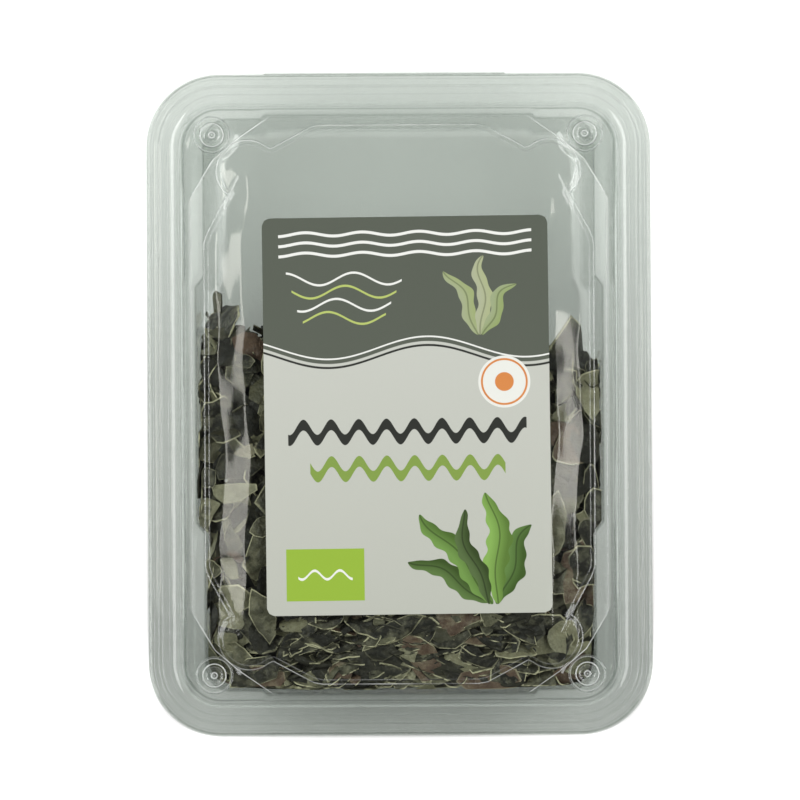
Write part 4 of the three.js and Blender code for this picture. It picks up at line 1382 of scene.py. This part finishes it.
class KOMBU_OT_heap(bpy.types.Operator):
    """The heap of flakes: a core dark with painted shade, and layers of curled flakes over every face of it
    """

    bl_idname = "kombu.heap"
    bl_label = "Heap of flakes"

    def execute(self, context):
        sizes, colours = context.scene.kombu_sizes, context.scene.kombu_colours
        make_core(core_material(colours))
        rng = np.random.default_rng(sizes.seed)
        for layer in HEAP_TOP:
            self.make_layer(rng, sizes.flakes, *layer)
        self.make_free_face(rng, sizes.flakes)
        self.make_walls(rng, sizes.flakes)
        self.make_strays(rng)
        return {"FINISHED"}

    def make_layer(self, rng, share, name, count, region, depth, tilt, size, curl):
        """Flakes under the lid, at a range of depths. Those of one layer stand nearly on edge."""
        flat = scatter(rng, int(count * share), *region)
        flat = flat[flat[:, 1] < heap_y(flat[:, 0], HEAP_HIGH) + rng.uniform(-3.0, 2.5, len(flat))]
        count = len(flat)
        z = ceiling(flat[:, 0], flat[:, 1]) - rng.uniform(*depth, count)
        normals = np.tile((0.0, 0.0, 1.0), (count, 1))
        if name == "kombu_edge_on":
            normals = np.column_stack((rng.normal(0, 0.25, count), np.ones(count), np.full(count, 0.45)))
        made = flake_object(name, rng, np.column_stack((flat, z)), normals, np.radians(tilt), size, curl)
        if name == "kombu_top":
            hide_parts("kombu_heap")

    def make_free_face(self, rng, share):
        """Flakes on the heap's free side, at all angles."""
        count, size, curl = FACE_FLAKES
        x, z = scatter(rng, int(count * share), (-55.0, 1.5), (55.0, 34.0)).T
        y = heap_y(x, z) - rng.uniform(0.0, 5.0, len(x))
        points = np.column_stack((x, y, z))
        lean = rng.normal(0, 0.4, len(x))
        normals = np.column_stack((lean, np.ones(len(x)), rng.normal(0.5, 0.5, len(x))))
        made = flake_object("kombu_free_face", rng, points, normals, np.radians(45), size, curl)

    def make_strays(self, rng):
        """Single flakes that stand up along the side walls, above the heap."""
        points, normals = (np.array(part) for part in zip(*STRAYS))
        made = flake_object("kombu_strays", rng, points, normals, 0.1, *STRAY_FLAKES, STRAY_KINDS)

    def make_walls(self, rng, share):
        """Flakes against the two side walls, the end wall and the floor."""
        low_y = -wall_y(CORE_Z) + MID_Y
        groups = []
        for side in (-1.0, 1.0):
            flat = scatter(rng, int(SIDE_COUNT * share), (low_y, HEAP_LOW), (HEAP_Y, HEAP_HIGH))
            flat = flat[flat[:, 0] < heap_y(side * 54.0, flat[:, 1])]
            x = side * (wall_x(flat[:, 0], flat[:, 1]) - rng.uniform(*WALL_LAYER, len(flat)))
            groups.append((np.column_stack((x, flat)), (side, 0.0, 0.0)))
        flat = scatter(rng, int(END_COUNT * share), (-53.0, HEAP_LOW), (53.0, HEAP_HIGH))
        y = -wall_y(flat[:, 1]) + MID_Y + rng.uniform(*WALL_LAYER, len(flat))
        groups.append((np.column_stack((flat[:, 0], y, flat[:, 1])), (0.0, -1.0, 0.0)))
        flat = scatter(rng, int(FLOOR_COUNT * share), (-50.0, low_y + 3.0), (50.0, HEAP_Y + 4.0))
        flat = flat[flat[:, 1] < heap_y(flat[:, 0], HEAP_LOW)]
        z = rng.uniform(*FLOOR_LAYER, len(flat))
        groups.append((np.column_stack((flat, z)), (0.0, 0.0, -1.0)))
        points = np.concatenate([places for places, _ in groups])
        normals = np.concatenate([np.tile(normal, (len(places), 1)) for places, normal in groups])
        made = flake_object("kombu_wall_flakes", rng, points, normals, np.radians(22), *WALL_FLAKES)


class KOMBU_OT_loose(bpy.types.Operator):
    """The loose flakes of other colours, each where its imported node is, flat along its two longest axes"""

    bl_idname = "kombu.loose"
    bl_label = "Loose flakes"

    def execute(self, context):
        names = sorted(n for n in frame["nodes"] if n.startswith("kombu_flake_"))
        for i, name in enumerate(names):
            rng = np.random.default_rng(LOOSE_SEED + i)
            corners = np.array([v.co for v in frame["nodes"][name].data.vertices]) / MM
            middle = corners.mean(0)
            _, _, axes = np.linalg.svd(corners - middle, full_matrices=False)
            normal = axes[2] * np.sign(axes[2][np.abs(axes[2]).argmax()])
            reach = np.abs((corners - middle) @ axes[0]).max()
            size = [reach * share for share in LOOSE_SIZE]
            brown = "brown" in name
            kinds = BROWN_KINDS if brown else PALE_KINDS
            leaf = flake_object(name + "_leaf", rng, middle[None], normal[None], 0.02, size, 1.0, kinds)
            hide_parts(name)
        return {"FINISHED"}


def soft_box(name, place, size, power, colour):
    """A rectangular lamp that looks at the box. Its first side lies level, across its view."""
    lamp = bpy.data.lights.new(name, "AREA")
    lamp.shape = "RECTANGLE"
    lamp.size, lamp.size_y = size
    lamp.energy = power
    lamp.color = colour
    made = bpy.data.objects.new(name, lamp)
    made.location = place
    made.rotation_euler = (Vector(LAMP_TARGET) - made.location).to_track_quat("-Z", "Y").to_euler()
    made.visible_camera = False
    bpy.context.scene.collection.objects.link(made)


class KOMBU_OT_stage(bpy.types.Operator):
    """The pale floor, the soft boxes and the camera straight above"""

    bl_idname = "kombu.stage"
    bl_label = "Stage"

    def execute(self, context):
        self.make_floor(context)
        self.make_camera(context)
        for name, lamp in LAMPS.items():
            soft_box(name, *lamp)
        world = bpy.data.worlds.new("studio")
        world.use_nodes = True
        background = world.node_tree.nodes["Background"]
        background.inputs["Color"].default_value = WORLD_COLOUR
        background.inputs["Strength"].default_value = WORLD_STRENGTH
        context.scene.world = world
        context.scene.view_settings.view_transform = "Standard"
        context.scene.cycles.transparent_max_bounces = 18
        context.scene.cycles.diffuse_bounces = 2
        context.scene.cycles.glossy_bounces = 2
        return {"FINISHED"}

    def make_floor(self, context):
        """A pale floor with painted light: it glows though it is no lamp. Its own light grows from the foot
        of the box to its head, and has another level outside a curve |x/a|^p + |y/b|^p = 1 round the box."""
        paint = Paint("pale_floor")
        colour = tuple(context.scene.kombu_colours.floor)
        body = paint.mix(paint.noise(40.0, 2.0) * 0.15, colour, tuple(0.97 * c for c in colour))
        split = paint.node("ShaderNodeSeparateXYZ", None, {0: paint.place()})
        x, y = paint.out(split, "X"), paint.out(split, "Y")
        # Painted light: a glow that grows from the foot of the box to its head, with its own level outside
        glow = ((y / MM - GLOW_FROM) / (GLOW_TO - GLOW_FROM)).clamped()
        low, high, outside = ((level, level, level) for level in (*FLOOR_GLOW, GLOW_OUTSIDE))
        across = (x / (HALF_X * MM)).size() ** GLOW_POWER
        along = (y / (HALF_Y * MM)).size() ** GLOW_POWER
        beyond = ((across + along) ** (1.0 / GLOW_POWER)).above(GLOW_EDGE, GLOW_SOFT)
        values = {
            "Base Color": body,
            "Roughness": 0.9,
            "Specular IOR Level": 0.0,
            "Emission Color": paint.mix(beyond, paint.mix(glow, low, high), outside),
            "Emission Strength": 1.0,
        }
        material = paint.finish(paint.value("ShaderNodeBsdfPrincipled", None, values))
        signs = np.array([(-1, -1), (1, -1), (1, 1), (-1, 1)])
        corners = np.column_stack((signs * FLOOR_HALF, np.full(4, FLOOR_TOP)))
        make_object("floor", corners, [np.array([[0, 1, 2, 3]])], material, shade=False)

    def make_camera(self, context):
        """The camera looks straight down from where the lid's flange has the photograph's scale."""
        camera = bpy.data.cameras.new("camera")
        camera.lens = CAMERA_LENS
        camera.sensor_width = CAMERA_SENSOR
        camera.clip_start = CAMERA_NEAR
        distance = PHOTO_SIZE * MM_PER_PIXEL * CAMERA_LENS / CAMERA_SENSOR
        made = bpy.data.objects.new("camera", camera)
        x = (PHOTO_SIZE / 2 - PHOTO_MIDDLE[0]) * MM_PER_PIXEL
        y = (PHOTO_MIDDLE[1] - PHOTO_SIZE / 2) * MM_PER_PIXEL
        made.location = (x * MM, y * MM, (distance + LID_FLANGE_Z) * MM)
        made.rotation_euler = (0.0, 0.0, np.radians(CAMERA_ROLL))
        context.scene.collection.objects.link(made)
        context.scene.camera = made


class KOMBU_PT_panel(bpy.types.Panel):
    """Lists the pieces of the box"""

    bl_label = "Kombu box"
    bl_idname = "KOMBU_PT_panel"
    bl_space_type = "VIEW_3D"
    bl_region_type = "UI"
    bl_category = "Kombu box"

    def draw(self, context):
        column = self.layout.column()
        for operator in OPERATORS:
            column.operator(operator.bl_idname)
        for group in (context.scene.kombu_sizes, context.scene.kombu_colours):
            for name in group.bl_rna.properties.keys():
                if name not in ("rna_type", "name"):
                    column.prop(group, name)


OPERATORS = (
    KOMBU_OT_stage,
    KOMBU_OT_tray,
    KOMBU_OT_lid,
    KOMBU_OT_studs,
    KOMBU_OT_hinge,
    KOMBU_OT_label,
    KOMBU_OT_heap,
    KOMBU_OT_loose,
)
CLASSES = (KombuBoxSizes, KombuBoxColours, *OPERATORS, KOMBU_PT_panel)


def register():
    for item in CLASSES:
        bpy.utils.register_class(item)
    bpy.types.Scene.kombu_sizes = bpy.props.PointerProperty(type=KombuBoxSizes)
    bpy.types.Scene.kombu_colours = bpy.props.PointerProperty(type=KombuBoxColours)


def unregister():
    del bpy.types.Scene.kombu_sizes
    del bpy.types.Scene.kombu_colours
    for item in reversed(CLASSES):
        bpy.utils.unregister_class(item)


def main():
    register()
    bpy.ops.kombu.stage()
    bpy.ops.kombu.tray()
    bpy.ops.kombu.lid()
    bpy.ops.kombu.studs()
    bpy.ops.kombu.hinge()
    bpy.ops.kombu.label()
    bpy.ops.kombu.heap()
    bpy.ops.kombu.loose()


if __name__ == "__main__":
    main()
